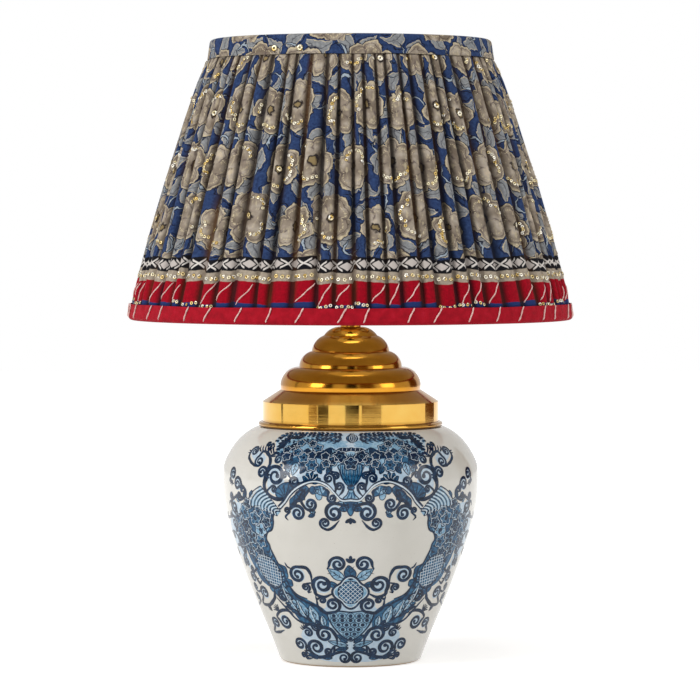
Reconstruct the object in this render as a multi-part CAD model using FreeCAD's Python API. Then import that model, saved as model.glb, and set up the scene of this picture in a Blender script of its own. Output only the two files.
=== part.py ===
import FreeCAD
import Part
import math
import os

# A jar table lamp: a glazed jar under a spun brass lid, a standard lamp fitting on a threaded tube,
# and a gathered cloth shade carried by a harp. Millimetres, +Z up. The origin is on the table,
# under the middle of the jar. The front, where the turn key points, is -Y and the cord hole is at +Y.

Vector = FreeCAD.Vector
X_AXIS = Vector(1, 0, 0)
Y_AXIS = Vector(0, 1, 0)
Z_AXIS = Vector(0, 0, 1)

# Fits between pieces
seat_gap = 0.3
thread_gap = 0.05
running_gap = 0.08
joint_gap = 0.3
overrun = 5.0
closeness = 0.001

# Jar
jar_contact_radius = 66.8
jar_foot_rounding = 6.4
jar_foot_ring_radius = 60.0
jar_recess_height = 24.0
jar_floor = 8.0
jar_wall = 7.0
jar_belly_radius = 130.6
jar_belly_height = 182.0
jar_ledge_radius = 95.5
jar_ledge_height = 238.8
jar_neck_radius = 86.0
jar_neck_height = 18.0
jar_neck_wall = 7.0
jar_neck_fillet = 3.0
jar_recess_fillet = 4.0
foot_lean_angle = 22.0
lower_outline_shares = ((0.179, 0.152), (0.395, 0.316), (0.722, 0.592), (0.900, 0.775), (0.972, 0.882))
upper_outline_shares = ((0.972, 0.299), (0.789, 0.558), (0.556, 0.757), (0.251, 0.919))
inner_floor_share = 0.09

# Cord hole and its bush, through the jar's foot at the back
cord_hole_height = 10.5
bush_bore_radius = 3.6
bush_wall = 1.2
bush_flange_radius = 7.0
bush_flange = 1.8
bush_sleeve = 13.0
bush_gap = 0.25

# Threaded tube and the fastening under the jar
tube_radius = 5.0
tube_wall = 1.4
tube_bottom_height = 8.0
tube_reach = 8.0
soft_washer_radius = 20.0
soft_washer = 2.0
steel_washer_radius = 17.0
steel_washer = 1.8
nut_across_flats = 17.0
nut_height = 5.5

# Spun brass lid
lid_wall = 1.2
lid_bead_radius = 2.7
lid_band_radius = 89.8
lid_band_height = 25.5
lid_rise = 101.4
lid_top_radius = 11.0
lid_slope_share = 0.37
lid_slope_radius = 71.2
lid_roll_radii_shares = ((0.735, 0.595), (0.555, 0.754), (0.382, 0.911))
lid_roll_middle_shares = ((0.948, 0.526), (0.693, 0.689), (0.514, 0.837), (0.309, 0.964))

# Check ring on top of the lid
check_ring_radius = 11.8
check_ring_waist = 10.4
check_ring_height = 4.0
check_ring_lip = 1.6

# Harp saddle
saddle_thickness = 1.6
saddle_width = 12.0
saddle_flat = 22.0
saddle_reach = 30.0
saddle_arm_rise = 8.0
saddle_arm_height = 17.0
saddle_bend_radius = 4.0
post_radius = 2.5
post_height = 6.0

# Harp
harp_wire_radius = 1.6
harp_straight = 40.0
harp_widest = 57.0
harp_widest_from = 74.0
harp_widest_to = 150.0
harp_shoulder_width = 33.0
harp_shoulder_height = 219.0
harp_top_width = 14.0
harp_top_height = 236.0
harp_low_bend = 28.0
harp_high_bend = 14.0

# Sliding ferrules that lock the harp to its saddle
ferrule_radius = 3.7
ferrule_height = 14.0
ferrule_overlap = 4.0
ferrule_collar = 3.0
ferrule_neck_radius = 2.9

# Stud on the harp, and the finial
stud_radius = 3.1
stud_block_radius = 6.5
stud_grip = 1.2
stud_height = 17.0
finial_foot_radius = 6.0
finial_foot = 2.4
finial_neck_radius = 4.4
finial_ball_radius = 6.4
finial_height = 20.5
finial_bore_depth = 15.0

# Lampholder: cap, shell, lining, insulator, screw shell, contact and terminals
hub_radius = 8.0
hub_height = 6.0
holder_cap_radius = 17.8
holder_cap_height = 17.0
holder_cap_rim = 4.0
holder_wall = 0.9
holder_shell_radius = 16.7
holder_shell_wall = 0.6
holder_shell_top = 54.0
holder_bead_radius = 1.1
holder_lining = 0.7
holder_lining_inset = 2.0
core_radius = 14.9
core_bottom = 12.0
core_top = 33.0
core_bore_radius = 4.0
terminal_pocket_depth = 2.6
terminal_pocket_height = 9.0
terminal_pocket_width = 10.0
terminal_height = 22.0
terminal_head_radius = 3.0
terminal_head = 1.8
terminal_shank_radius = 1.6
terminal_shank = 4.0
screw_shell_radius = 13.9
screw_shell_wall = 0.4
screw_shell_height = 20.0
contact_width = 5.0
contact_thickness = 0.4
contact_length = 18.0
contact_rise = 3.0
grub_radius = 1.5
grub_length = 3.0

# Turn key
key_height = 25.0
key_shaft_radius = 2.0
key_depth = 6.0
key_hole_radius = 2.8
key_collar_radius = 3.4
key_collar = 2.0
key_standoff = 1.2
key_length = 13.0
key_blade_width = 15.0
key_blade = 3.2

# Bulb
bulb_cap_radius = 13.1
bulb_cap_height = 18.0
bulb_thread_pitch = 3.629
bulb_thread_depth = 0.7
bulb_thread_turns = 4
bulb_wall = 0.3
bulb_insulator_height = 3.0
bulb_tip_radius = 4.8
bulb_tip_height = 1.6
bulb_glass_wall = 0.9
bulb_neck_radius = 14.2
bulb_globe_radius = 30.0
bulb_length = 106.0
bulb_shoulder_angle = 35.0
bulb_neck_rise = 8.0
stem_radius = 4.5
stem_tip_radius = 1.4
stem_height = 52.0
stem_mount = 18.0
filament_radius = 1.0
filament_length = 28.0
filament_circle = 6.5
filament_count = 4

# Shade frame
shade_bottom_height = 348.0
shade_top_height = 632.0
ring_wire_radius = 2.0
top_ring_radius = 136.0
bottom_ring_radius = 221.5
strut_radius = 1.5
strut_count = 8
weld_gap = 0.05
spider_arm_radius = 1.5
spider_arm_count = 3
spider_shelf = 9.0
spider_slant = 9.0
spider_bend_radius = 4.0
spider_hub_radius = 11.0
spider_hub = 3.4

# Shade cloth
lining_thickness = 0.6
cover_thickness = 0.9
fold_count = 70
fold_depth = 7.1
fold_section_shares = ((0.0, 0.35), (0.05, 0.62), (0.50, 1.0), (0.75, 0.90), (0.90, 0.68), (0.985, 0.34),
                       (1.0, 0.08))
fold_profile_shares = ((0.0, 0.0), (0.17, 0.78), (0.47, 1.0), (0.80, 0.82))
fold_width_wobble_share = 0.36
fold_depth_wobble_share = 0.15
fold_wobble_step = 2.4
cover_tuck = 0.6
binding_thickness = 0.7
binding_bend_radius = 4.2
binding_inside_height = 12.0
top_binding_height = 20.0
top_binding_lip = 9.6
top_binding_bulge = 7.4
bottom_binding_height = 16.5
bottom_binding_lip = 3.0
bottom_binding_bulge = 4.9


# Drawing helpers

def at(radius, height):
    """A point of a turned outline: a distance from the axis, exactly nothing on it, and a height."""
    return Vector(radius if abs(radius) > closeness else 0, 0, height)


def corner(centre, radius, start_angle, end_angle):
    """Steps of an outline for a rounded corner: a line to the arc's start, and the arc."""
    points = []
    for angle in (start_angle, (start_angle + end_angle) / 2, end_angle):
        turn = math.radians(angle)
        points.append((centre[0] + radius * math.cos(turn), centre[1] + radius * math.sin(turn)))
    return (("line", points[0]), ("arc", points[1], points[2]))


def outline(start, *steps):
    """The closed face that a list of lines, arcs and curves goes round, beside the axis."""
    here = at(*start)
    edges = []
    for kind, *ends in steps:
        points = [at(*end) for end in ends]
        if kind == "line" and here.isEqual(points[0], closeness):
            continue
        if kind == "line":
            edge = Part.LineSegment(here, points[0])
        elif kind == "arc":
            edge = Part.Arc(here, points[0], points[1])
        else:
            edge = Part.BSplineCurve()
            edge.interpolate([here] + points)
        edges.append(edge.toShape())
        here = points[-1]
    if not here.isEqual(at(*start), closeness):
        edges.append(Part.LineSegment(here, at(*start)).toShape())
    return Part.Face(Part.Wire(edges))


def turned(start, *steps):
    """A solid of revolution about the lamp's axis."""
    return outline(start, *steps).revolve(Vector(), Z_AXIS, 360)


def ring(inner_radius, outer_radius, bottom, top):
    """A plain washer, tube or disc about the lamp's axis."""
    outer = Part.makeCylinder(outer_radius, top - bottom, at(0, bottom))
    if not inner_radius:
        return outer
    return outer.cut(Part.makeCylinder(inner_radius, top - bottom + 2 * overrun, at(0, bottom - overrun)))


def rounded_path(points, radii):
    """Straight runs joined by tangent arcs, one radius for each inner corner."""
    edges = []
    here = points[0]
    for index, radius in enumerate(radii, start=1):
        before = (points[index] - points[index - 1]).normalize()
        after = (points[index + 1] - points[index]).normalize()
        half_turn = before.getAngle(after) / 2
        setback = radius * math.tan(half_turn)
        start = points[index] - before * setback
        end = points[index] + after * setback
        towards = (after - before).normalize()
        middle = points[index] + towards * (radius / math.cos(half_turn) - radius)
        edges.append(Part.LineSegment(here, start).toShape())
        edges.append(Part.Arc(start, middle, end).toShape())
        here = end
    edges.append(Part.LineSegment(here, points[-1]).toShape())
    return Part.Wire(edges)


def rod(path, radius):
    """Round wire bent along a path."""
    start = path.Edges[0].Vertexes[0].Point
    heading = path.Edges[0].tangentAt(path.Edges[0].FirstParameter)
    section = Part.Wire(Part.makeCircle(radius, start, heading))
    return path.makePipeShell([section], True, False)


def mirrored(points):
    """The points, and the same points on the other side of the lamp, as one path."""
    return [Vector(-p.x, p.y, p.z) for p in points] + list(reversed(points))


# Heights that stack up from the table

recess_ceiling = jar_recess_height
floor_top = jar_recess_height + jar_floor
lid_seat = jar_ledge_height + seat_gap
lid_top = lid_seat + lid_rise
saddle_seat = lid_top + check_ring_height
holder_seat = saddle_seat + saddle_thickness
post_foot = saddle_seat + saddle_arm_height
harp_foot = post_foot + post_height
harp_top = harp_foot + harp_top_height
stud_foot = harp_top + harp_wire_radius + stud_grip
spider_seat = stud_foot + joint_gap
top_ring_height = shade_top_height - binding_thickness - seat_gap - ring_wire_radius
bottom_ring_height = shade_bottom_height + binding_thickness + seat_gap + ring_wire_radius
shade_slope = (bottom_ring_radius - top_ring_radius) / (top_ring_height - bottom_ring_height)
slope_stretch = math.sqrt(1 + shade_slope * shade_slope)


def frame_radius(height):
    """How far the shade's straight struts are from the axis at a height."""
    return top_ring_radius + shade_slope * (top_ring_height - height)


# Jar and cord bush

def jar_side():
    """The jar's outline from the top of the foot's rounding to the ledge that the lid stands on."""
    lean = math.radians(foot_lean_angle)
    start = (jar_contact_radius + jar_foot_rounding * math.cos(lean),
             jar_foot_rounding - jar_foot_rounding * math.sin(lean))
    side = [start]
    for across, up in lower_outline_shares:
        side.append((start[0] + across * (jar_belly_radius - start[0]),
                     start[1] + up * (jar_belly_height - start[1])))
    side.append((jar_belly_radius, jar_belly_height))
    for across, up in upper_outline_shares:
        side.append((jar_ledge_radius + across * (jar_belly_radius - jar_ledge_radius),
                     jar_belly_height + up * (jar_ledge_height - jar_belly_height)))
    side.append((jar_ledge_radius, jar_ledge_height))
    return side


def jar_inside():
    """The same outline one wall further in, from the floor to under the ledge."""
    side = jar_side()
    foot = side[0]
    inside = [(foot[0] + inner_floor_share * (jar_belly_radius - foot[0]) - jar_wall, floor_top)]
    for radius, height in side[1:]:
        above_belly = max(0.0, (height - jar_belly_height) / (jar_ledge_height - jar_belly_height))
        inside.append((radius - jar_wall, height - jar_wall * above_belly))
    return inside


def make_jar():
    side = jar_side()
    inside = jar_inside()
    neck_top = jar_ledge_height + jar_neck_height
    neck_inside = jar_neck_radius - jar_neck_wall
    rim = jar_neck_wall / 2
    body = turned(
        (jar_foot_ring_radius, 0),
        ("line", (jar_contact_radius, 0)),
        *corner((jar_contact_radius, jar_foot_rounding), jar_foot_rounding, -90, -foot_lean_angle),
        ("curve", *side[1:]),
        *corner((jar_neck_radius + jar_neck_fillet, jar_ledge_height + jar_neck_fillet), jar_neck_fillet,
                270, 180),
        *corner((jar_neck_radius - rim, neck_top - rim), rim, 0, 180),
        ("line", (neck_inside, inside[-1][1])),
        ("line", inside[-1]),
        ("curve", *reversed(inside[:-1])),
        ("line", (tube_radius + seat_gap, floor_top)),
        ("line", (tube_radius + seat_gap, recess_ceiling)),
        *corner((jar_foot_ring_radius - jar_recess_fillet, recess_ceiling - jar_recess_fillet),
                jar_recess_fillet, 90, 0),
    )
    hole = Part.makeCylinder(bush_bore_radius + bush_wall + bush_gap, 2 * (bush_sleeve + overrun),
                             Vector(0, 0, -bush_sleeve - overrun))
    hole.Placement = cord_hole_placement().multiply(hole.Placement)
    return body.cut(hole)


def cord_hole_placement():
    """Puts +Z square to the jar's wall at the cord hole, pointing out, with the origin on the wall."""
    side = jar_side()
    wall = Part.BSplineCurve()
    wall.interpolate([at(*p) for p in side])
    level = Part.LineSegment(at(0, cord_hole_height), at(2 * jar_belly_radius, cord_hole_height))
    point = wall.intersect(level)[0]
    tangent = wall.tangent(wall.parameter(Vector(point.X, point.Y, point.Z)))[0]
    outward = Vector(0, tangent.z, -tangent.x)
    if outward.y < 0:
        outward = outward * -1
    return FreeCAD.Placement(Vector(0, point.X, point.Z), FreeCAD.Rotation(Z_AXIS, outward))


def make_cord_bush():
    """A flanged brass bush, glued into the hole. It is drawn about its own axis and then put in place."""
    sleeve = bush_bore_radius + bush_wall
    lip = bush_flange / 2
    # the flange stands clear of the wall's curve, which falls away to each side of it
    bush = turned(
        (bush_bore_radius, -bush_sleeve),
        ("line", (sleeve, -bush_sleeve)),
        ("line", (sleeve, seat_gap)),
        ("line", (bush_flange_radius, seat_gap)),
        ("line", (bush_flange_radius, seat_gap + lip)),
        ("arc", (bush_flange_radius - lip * (1 - math.sqrt(0.5)), seat_gap + lip * (1 + math.sqrt(0.5))),
         (bush_flange_radius - lip, seat_gap + bush_flange)),
        ("line", (bush_bore_radius, seat_gap + bush_flange)),
    )
    bush.Placement = cord_hole_placement().multiply(bush.Placement)
    return bush


# Threaded tube and its fastening

def make_tube():
    return ring(tube_radius - tube_wall, tube_radius, tube_bottom_height, holder_seat + tube_reach)


def make_soft_washer():
    return ring(tube_radius + seat_gap, soft_washer_radius, recess_ceiling - soft_washer, recess_ceiling)


def make_steel_washer():
    top = recess_ceiling - soft_washer
    return ring(tube_radius + seat_gap, steel_washer_radius, top - steel_washer, top)


def make_nut():
    top = recess_ceiling - soft_washer - steel_washer
    bottom = top - nut_height
    corner_radius = nut_across_flats / math.sqrt(3)
    points = []
    for side in range(7):
        turn = math.radians(60 * side)
        points.append(Vector(corner_radius * math.cos(turn), corner_radius * math.sin(turn), bottom))
    hexagon = Part.Face(Part.makePolygon(points)).extrude(Z_AXIS * nut_height)
    chamfer = (corner_radius - nut_across_flats / 2) / 2
    envelope = turned(
        (0, bottom),
        ("line", (nut_across_flats / 2, bottom)),
        ("line", (corner_radius, bottom + chamfer)),
        ("line", (corner_radius, top - chamfer)),
        ("line", (nut_across_flats / 2, top)),
        ("line", (0, top)),
    )
    hole = Part.makeCylinder(tube_radius + thread_gap, nut_height + 2 * overrun, at(0, bottom - overrun))
    return hexagon.common(envelope).cut(hole)


# Lid and check ring

def lid_point(radius_share, rise_share, inset=0.0):
    return (radius_share * lid_slope_radius - inset, lid_seat + rise_share * lid_rise - inset)


def lid_rolls(inset):
    """The four rolls of the dome from the slope up to the flat top, as arcs, for one skin of the sheet."""
    creases = [lid_point(*share, inset) for share in lid_roll_radii_shares]
    creases.append((lid_top_radius, lid_top - inset))
    middles = [lid_point(*share, inset) for share in lid_roll_middle_shares]
    return list(zip(middles, creases))


def make_lid():
    band_inside = lid_band_radius - lid_wall
    bead_middle = band_inside + lid_bead_radius
    bead_height = lid_seat + lid_bead_radius
    reach = lid_band_radius - bead_middle
    bead_top_angle = math.degrees(math.acos(reach / lid_bead_radius))
    band_top = lid_seat + lid_band_height
    slope_top = lid_seat + lid_slope_share * lid_rise
    outside = lid_rolls(0.0)
    inside = lid_rolls(lid_wall)
    inner_starts = [(lid_slope_radius - lid_wall, slope_top - lid_wall)] + [end for _, end in inside]
    down = []
    for index in reversed(range(len(inside))):
        down.append(("arc", inside[index][0], inner_starts[index]))
    return turned(
        (tube_radius + seat_gap, lid_top),
        ("line", (tube_radius + seat_gap, lid_top - lid_wall)),
        ("line", inner_starts[-1]),
        *down,
        ("line", (band_inside, band_top - lid_wall)),
        ("line", (band_inside, bead_height)),
        *corner((bead_middle, bead_height), lid_bead_radius, 180, 360),
        *corner((bead_middle, bead_height), lid_bead_radius, 0, bead_top_angle),
        ("line", (lid_band_radius, band_top)),
        ("line", (lid_slope_radius, slope_top)),
        *[("arc", middle, end) for middle, end in outside],
    )


def make_check_ring():
    lip_foot = saddle_seat - check_ring_lip
    return turned(
        (tube_radius + thread_gap, lid_top),
        ("line", (check_ring_waist, lid_top)),
        ("line", (check_ring_waist, lid_top + (lip_foot - lid_top) / 2)),
        ("line", (check_ring_radius, lip_foot)),
        *corner((check_ring_radius - check_ring_lip / 2, lip_foot + check_ring_lip / 2), check_ring_lip / 2,
                0, 90),
        ("line", (tube_radius + thread_gap, saddle_seat)),
    )


# Harp, saddle and ferrules

def make_saddle():
    """A brass strip bent up at both ends, with a round post on each end for the harp to stand on."""
    middle = saddle_seat + saddle_thickness / 2
    half = [
        Vector(saddle_reach, 0, post_foot),
        Vector(saddle_reach, 0, saddle_seat + saddle_arm_rise),
        Vector(saddle_flat, 0, middle),
    ]
    path = rounded_path(list(reversed(mirrored(half))), [saddle_bend_radius] * 4)
    corners = []
    for across, along in ((-1, -1), (1, -1), (1, 1), (-1, 1), (-1, -1)):
        offset = Vector(across * saddle_thickness / 2, along * saddle_width / 2, 0)
        corners.append(half[0] + offset)
    strip = path.makePipeShell([Part.makePolygon(corners)], True, False)
    for side in (-1, 1):
        post = Part.makeCylinder(post_radius, post_height + saddle_arm_rise / 2,
                                 Vector(side * saddle_reach, 0, post_foot - saddle_arm_rise / 2))
        strip = strip.fuse(post)
    hole = Part.makeCylinder(tube_radius + thread_gap, 2 * overrun, at(0, saddle_seat - overrun))
    return strip.cut(hole).removeSplitter()


def harp_points():
    return [
        Vector(saddle_reach, 0, harp_foot),
        Vector(saddle_reach, 0, harp_foot + harp_straight),
        Vector(harp_widest, 0, harp_foot + harp_widest_from),
        Vector(harp_widest, 0, harp_foot + harp_widest_to),
        Vector(harp_shoulder_width, 0, harp_foot + harp_shoulder_height),
        Vector(harp_top_width, 0, harp_top),
    ]


def make_harp():
    """One wire bent round the bulb, from the right post over the top to the left post."""
    bends = [harp_low_bend, harp_low_bend, harp_low_bend, harp_high_bend, harp_high_bend]
    path = rounded_path(list(reversed(mirrored(harp_points()))), bends + list(reversed(bends)))
    return rod(path, harp_wire_radius)


def make_ferrule(side):
    """A sleeve that hangs on the harp wire and drops over the post, so the harp can't spring out."""
    bottom = harp_foot - ferrule_overlap
    shoulder = harp_foot + seat_gap
    top = bottom + ferrule_height
    sleeve = turned(
        (post_radius + running_gap, bottom),
        ("line", (ferrule_radius, bottom)),
        ("line", (ferrule_radius, top - ferrule_collar)),
        ("line", (ferrule_neck_radius, top)),
        ("line", (harp_wire_radius + running_gap, top)),
        ("line", (harp_wire_radius + running_gap, shoulder)),
        ("line", (post_radius + running_gap, shoulder)),
    )
    sleeve.translate(X_AXIS * side * saddle_reach)
    return sleeve


def make_stud():
    """A threaded stud on a round block, which is swaged on the top of the harp's wire."""
    block = ring(0, stud_block_radius, harp_top - harp_wire_radius - stud_grip, stud_foot)
    stud = block.fuse(ring(0, stud_radius, stud_foot, stud_foot + stud_height))
    start = Vector(-stud_block_radius - overrun, 0, harp_top)
    wire = Part.makeCylinder(harp_wire_radius + thread_gap, 2 * (stud_block_radius + overrun), start, X_AXIS)
    return stud.cut(wire)


def make_finial():
    bottom = spider_seat + spider_hub + seat_gap
    foot_top = bottom + finial_foot
    ball = bottom + finial_height - finial_ball_radius
    waist = math.asin(finial_neck_radius / finial_ball_radius)
    waist_angle = math.degrees(waist) - 90
    body = turned(
        (0, bottom),
        ("line", (finial_foot_radius, bottom)),
        ("line", (finial_foot_radius, foot_top)),
        ("line", (finial_neck_radius, foot_top + finial_foot / 2)),
        *corner((0, ball), finial_ball_radius, waist_angle, 90),
    )
    return body.cut(ring(0, stud_radius + thread_gap, bottom - overrun, bottom + finial_bore_depth))


# Lampholder

def holder(height):
    """A height above the face that the lampholder stands on."""
    return holder_seat + height


def key_bore(radius):
    """A bore along the turn key's axis, from the middle of the holder out to the front."""
    return Part.makeCylinder(radius, 2 * holder_cap_radius, Vector(0, 0, holder(key_height)), Y_AXIS * -1)


def make_holder_cap():
    hub_bore = tube_radius + thread_gap
    rim_foot = holder_cap_height - holder_cap_rim
    shoulder = ((hub_radius + holder_cap_radius) / 2, holder((hub_height + rim_foot) / 2 - holder_wall))
    inner_hub = holder(hub_height) + 2 * holder_wall
    cap = turned(
        (hub_bore, holder_seat),
        ("line", (hub_radius, holder_seat)),
        ("line", (hub_radius, holder(hub_height))),
        ("curve", shoulder, (holder_cap_radius, holder(rim_foot))),
        ("line", (holder_cap_radius, holder(holder_cap_height))),
        ("line", (holder_cap_radius - holder_wall, holder(holder_cap_height))),
        ("line", (holder_cap_radius - holder_wall, holder(rim_foot))),
        ("curve", (shoulder[0], shoulder[1] + 2 * holder_wall), (hub_radius, inner_hub)),
        ("line", (hub_bore, inner_hub)),
    )
    screw_height = at(0, holder(hub_height / 2))
    return cap.cut(Part.makeCylinder(grub_radius + thread_gap, holder_cap_radius, screw_height, X_AXIS))


def make_grub_screw():
    start = tube_radius + thread_gap
    return Part.makeCylinder(grub_radius, grub_length, Vector(start, 0, holder(hub_height / 2)), X_AXIS)


def make_holder_shell():
    inner = holder_shell_radius - holder_shell_wall
    bottom = holder(holder_cap_height - holder_cap_rim)
    top = holder(holder_shell_top)
    bead = top - holder_bead_radius
    shell = turned(
        (inner, bottom),
        ("line", (holder_shell_radius, bottom)),
        ("line", (holder_shell_radius, bead - holder_bead_radius)),
        *corner((holder_shell_radius, bead), holder_bead_radius, -90, 90),
        ("line", (inner, top)),
    )
    return shell.cut(key_bore(key_hole_radius))


def make_holder_lining():
    outer = holder_shell_radius - holder_shell_wall - running_gap
    bottom = holder(holder_cap_height - holder_cap_rim)
    sleeve = ring(outer - holder_lining, outer, bottom, holder(holder_shell_top - holder_lining_inset))
    return sleeve.cut(key_bore(key_hole_radius))


def make_holder_core():
    """The moulded insulator, with a pocket on each side for a terminal screw and a bore for the key."""
    core = ring(core_bore_radius, core_radius, holder(core_bottom), holder(core_top))
    low = holder(terminal_height - terminal_pocket_height / 2)
    for side in (-1, 1):
        near = core_radius - terminal_pocket_depth
        pocket = Part.makeBox(terminal_pocket_depth + overrun, terminal_pocket_width, terminal_pocket_height,
                              Vector(near, -terminal_pocket_width / 2, low))
        end = near - terminal_shank - seat_gap
        shank = Part.makeCylinder(terminal_shank_radius + thread_gap, near, at(end, holder(terminal_height)),
                                  X_AXIS)
        cutter = pocket.fuse(shank)
        if side < 0:
            cutter = cutter.mirror(Vector(), X_AXIS)
        core = core.cut(cutter)
    return core.cut(key_bore(key_shaft_radius + running_gap))


def make_terminal(side):
    seat = core_radius - terminal_pocket_depth
    height = holder(terminal_height)
    axis = X_AXIS * side
    head = Part.makeCylinder(terminal_head_radius, terminal_head, at(side * seat, height), axis)
    shank_end = at(side * (seat - terminal_shank), height)
    shank = Part.makeCylinder(terminal_shank_radius, terminal_shank, shank_end, axis)
    return head.fuse(shank).removeSplitter()


def make_screw_shell():
    bottom = holder(core_top)
    inner = screw_shell_radius - screw_shell_wall
    opening = contact_length / 2 + screw_shell_wall
    return turned(
        (opening, bottom),
        ("line", (screw_shell_radius, bottom)),
        ("line", (screw_shell_radius, bottom + screw_shell_height)),
        ("line", (inner, bottom + screw_shell_height)),
        ("line", (inner, bottom + screw_shell_wall)),
        ("line", (opening, bottom + screw_shell_wall)),
    )


def make_contact():
    """The springy tongue under the bulb: a strip that lies on the insulator and arches up in the middle."""
    base = holder(core_top) + contact_thickness / 2
    half = [
        Vector(contact_length / 2 - contact_thickness, 0, base),
        Vector(core_bore_radius + contact_thickness * 2, 0, base),
        Vector(contact_width / 4, 0, base + contact_rise - contact_thickness),
    ]
    path = rounded_path(list(reversed(mirrored(half))), [contact_thickness * 2] * 4)
    start = half[0]
    corners = []
    for along, up in ((-1, -1), (1, -1), (1, 1), (-1, 1), (-1, -1)):
        corners.append(start + Vector(0, along * contact_width / 2, up * contact_thickness / 2))
    return path.makePipeShell([Part.makePolygon(corners)], True, False)


def make_key():
    """A turn key: a shaft that enters the insulator, a collar outside the shell and an oval blade."""
    inside = core_radius - key_depth
    collar = holder_shell_radius + key_standoff
    axis = Y_AXIS * -1
    centre = at(0, holder(key_height))
    shaft = Part.makeCylinder(key_shaft_radius, collar - inside, centre + axis * inside, axis)
    boss = Part.makeCylinder(key_collar_radius, key_collar, centre + axis * collar, axis)
    blade_middle = centre + axis * (collar + key_collar / 2 + key_length / 2)
    oval = Part.Ellipse(blade_middle, key_blade_width / 2, key_length / 2)
    blade = Part.Face(Part.Wire(oval.toShape())).extrude(Z_AXIS * key_blade)
    blade.translate(Z_AXIS * (-key_blade / 2))
    blade = blade.makeFillet(key_blade / 4, blade.Edges)
    key = shaft.fuse(boss)
    key = key.fuse(blade)
    return key.removeSplitter()


# Bulb

bulb_foot = holder_seat + core_top + contact_thickness / 2 + contact_rise + seat_gap


def make_bulb_tip():
    """A solder button: a shallow piece of a ball with a flat top."""
    ball = (bulb_tip_radius ** 2 + bulb_tip_height ** 2) / (2 * bulb_tip_height)
    halfway = bulb_tip_radius / 2
    return turned(
        (0, bulb_foot),
        ("arc", (halfway, bulb_foot + ball - math.sqrt(ball ** 2 - halfway ** 2)),
         (bulb_tip_radius, bulb_foot + bulb_tip_height)),
        ("line", (0, bulb_foot + bulb_tip_height)),
    )


def make_bulb_insulator():
    bottom = bulb_foot + bulb_tip_height + weld_gap
    return turned(
        (0, bottom),
        ("line", (bulb_tip_radius, bottom)),
        ("line", (bulb_cap_radius - bulb_thread_depth - bulb_wall, bottom + bulb_insulator_height)),
        ("line", (0, bottom + bulb_insulator_height)),
    )


def make_bulb_cap():
    """The rolled screw cap: a thin tube whose wall goes in and out with the thread."""
    bottom = bulb_foot + bulb_tip_height + weld_gap + bulb_insulator_height + weld_gap
    top = bottom + bulb_cap_height
    crest = bulb_cap_radius
    root = bulb_cap_radius - bulb_thread_depth
    steps = [("line", (root, bottom))]
    for turn in range(bulb_thread_turns):
        low = bottom + turn * bulb_thread_pitch
        steps.append(("arc", (crest, low + bulb_thread_pitch / 2), (root, low + bulb_thread_pitch)))
    return turned(
        (root - bulb_wall, bottom),
        *steps,
        ("line", (crest, top)),
        ("line", (root - bulb_wall, top)),
    )


def make_bulb_glass():
    """A blown globe on a neck, open where it sits in the cap."""
    bottom = bulb_foot + bulb_tip_height + bulb_insulator_height + bulb_cap_height + 2 * weld_gap + weld_gap
    globe = bulb_foot + bulb_length - bulb_globe_radius
    neck = bottom + bulb_neck_rise
    shoulder = math.radians(bulb_shoulder_angle)

    def skin(inset):
        radius = bulb_globe_radius - inset
        join = (radius * math.cos(shoulder), globe - radius * math.sin(shoulder))
        taper = (join[1] - neck) / 4
        halfway = (join[0] - taper * math.tan(shoulder), join[1] - taper)
        over = corner((0, globe), radius, -bulb_shoulder_angle, 90)
        return halfway, join, over[1][1], over[1][2]

    outer = skin(0.0)
    inner = skin(bulb_glass_wall)
    inner_neck = bulb_neck_radius - bulb_glass_wall
    return turned(
        (inner_neck, bottom),
        ("line", (bulb_neck_radius, bottom)),
        ("line", (bulb_neck_radius, neck)),
        ("curve", outer[0], outer[1]),
        ("arc", outer[2], outer[3]),
        ("line", inner[3]),
        ("arc", inner[2], inner[1]),
        ("curve", inner[0], (inner_neck, neck)),
    )


def stem_foot():
    return bulb_foot + bulb_tip_height + bulb_insulator_height + bulb_cap_height


def make_bulb_stem():
    """The glass mount that carries the filaments, standing on the cap's insulator."""
    bottom = bulb_foot + bulb_tip_height + bulb_insulator_height + 2 * weld_gap
    top = stem_foot() + stem_height
    return turned(
        (0, bottom),
        ("line", (bulb_cap_radius - bulb_thread_depth - bulb_wall - weld_gap, bottom)),
        ("line", (bulb_cap_radius - bulb_thread_depth - bulb_wall - weld_gap, bottom + bulb_wall)),
        ("line", (stem_radius, bottom + bulb_cap_height)),
        ("line", (stem_radius, stem_foot() + stem_mount)),
        ("line", (stem_tip_radius, stem_foot() + stem_mount + stem_radius)),
        ("line", (stem_tip_radius, top)),
        ("line", (0, top)),
    )


def make_bulb_filaments():
    """Straight filament rods in a ring round the stem, each leaning in on it at the top and bottom."""
    solids = []
    middle = stem_foot() + stem_height - filament_length / 2
    for index in range(filament_count):
        turn = math.radians((index + 0.5) * 360 / filament_count)
        place = Vector(filament_circle * math.cos(turn), filament_circle * math.sin(turn),
                       middle - filament_length / 2)
        solids.append(Part.makeCylinder(filament_radius, filament_length, place))
        for end in (0, filament_length):
            # a lead wire from the rod's end across to the stem
            start = place + Z_AXIS * end
            inward = Vector(-math.cos(turn), -math.sin(turn), 0)
            reach = filament_circle - stem_tip_radius - weld_gap
            lead = Part.makeCylinder(filament_radius / 3, reach, start, inward)
            solids[-1] = solids[-1].fuse(lead)
    return Part.makeCompound(solids)


# Shade frame

def make_ring(radius, height):
    return Part.makeTorus(radius, ring_wire_radius, at(0, height))


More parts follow.
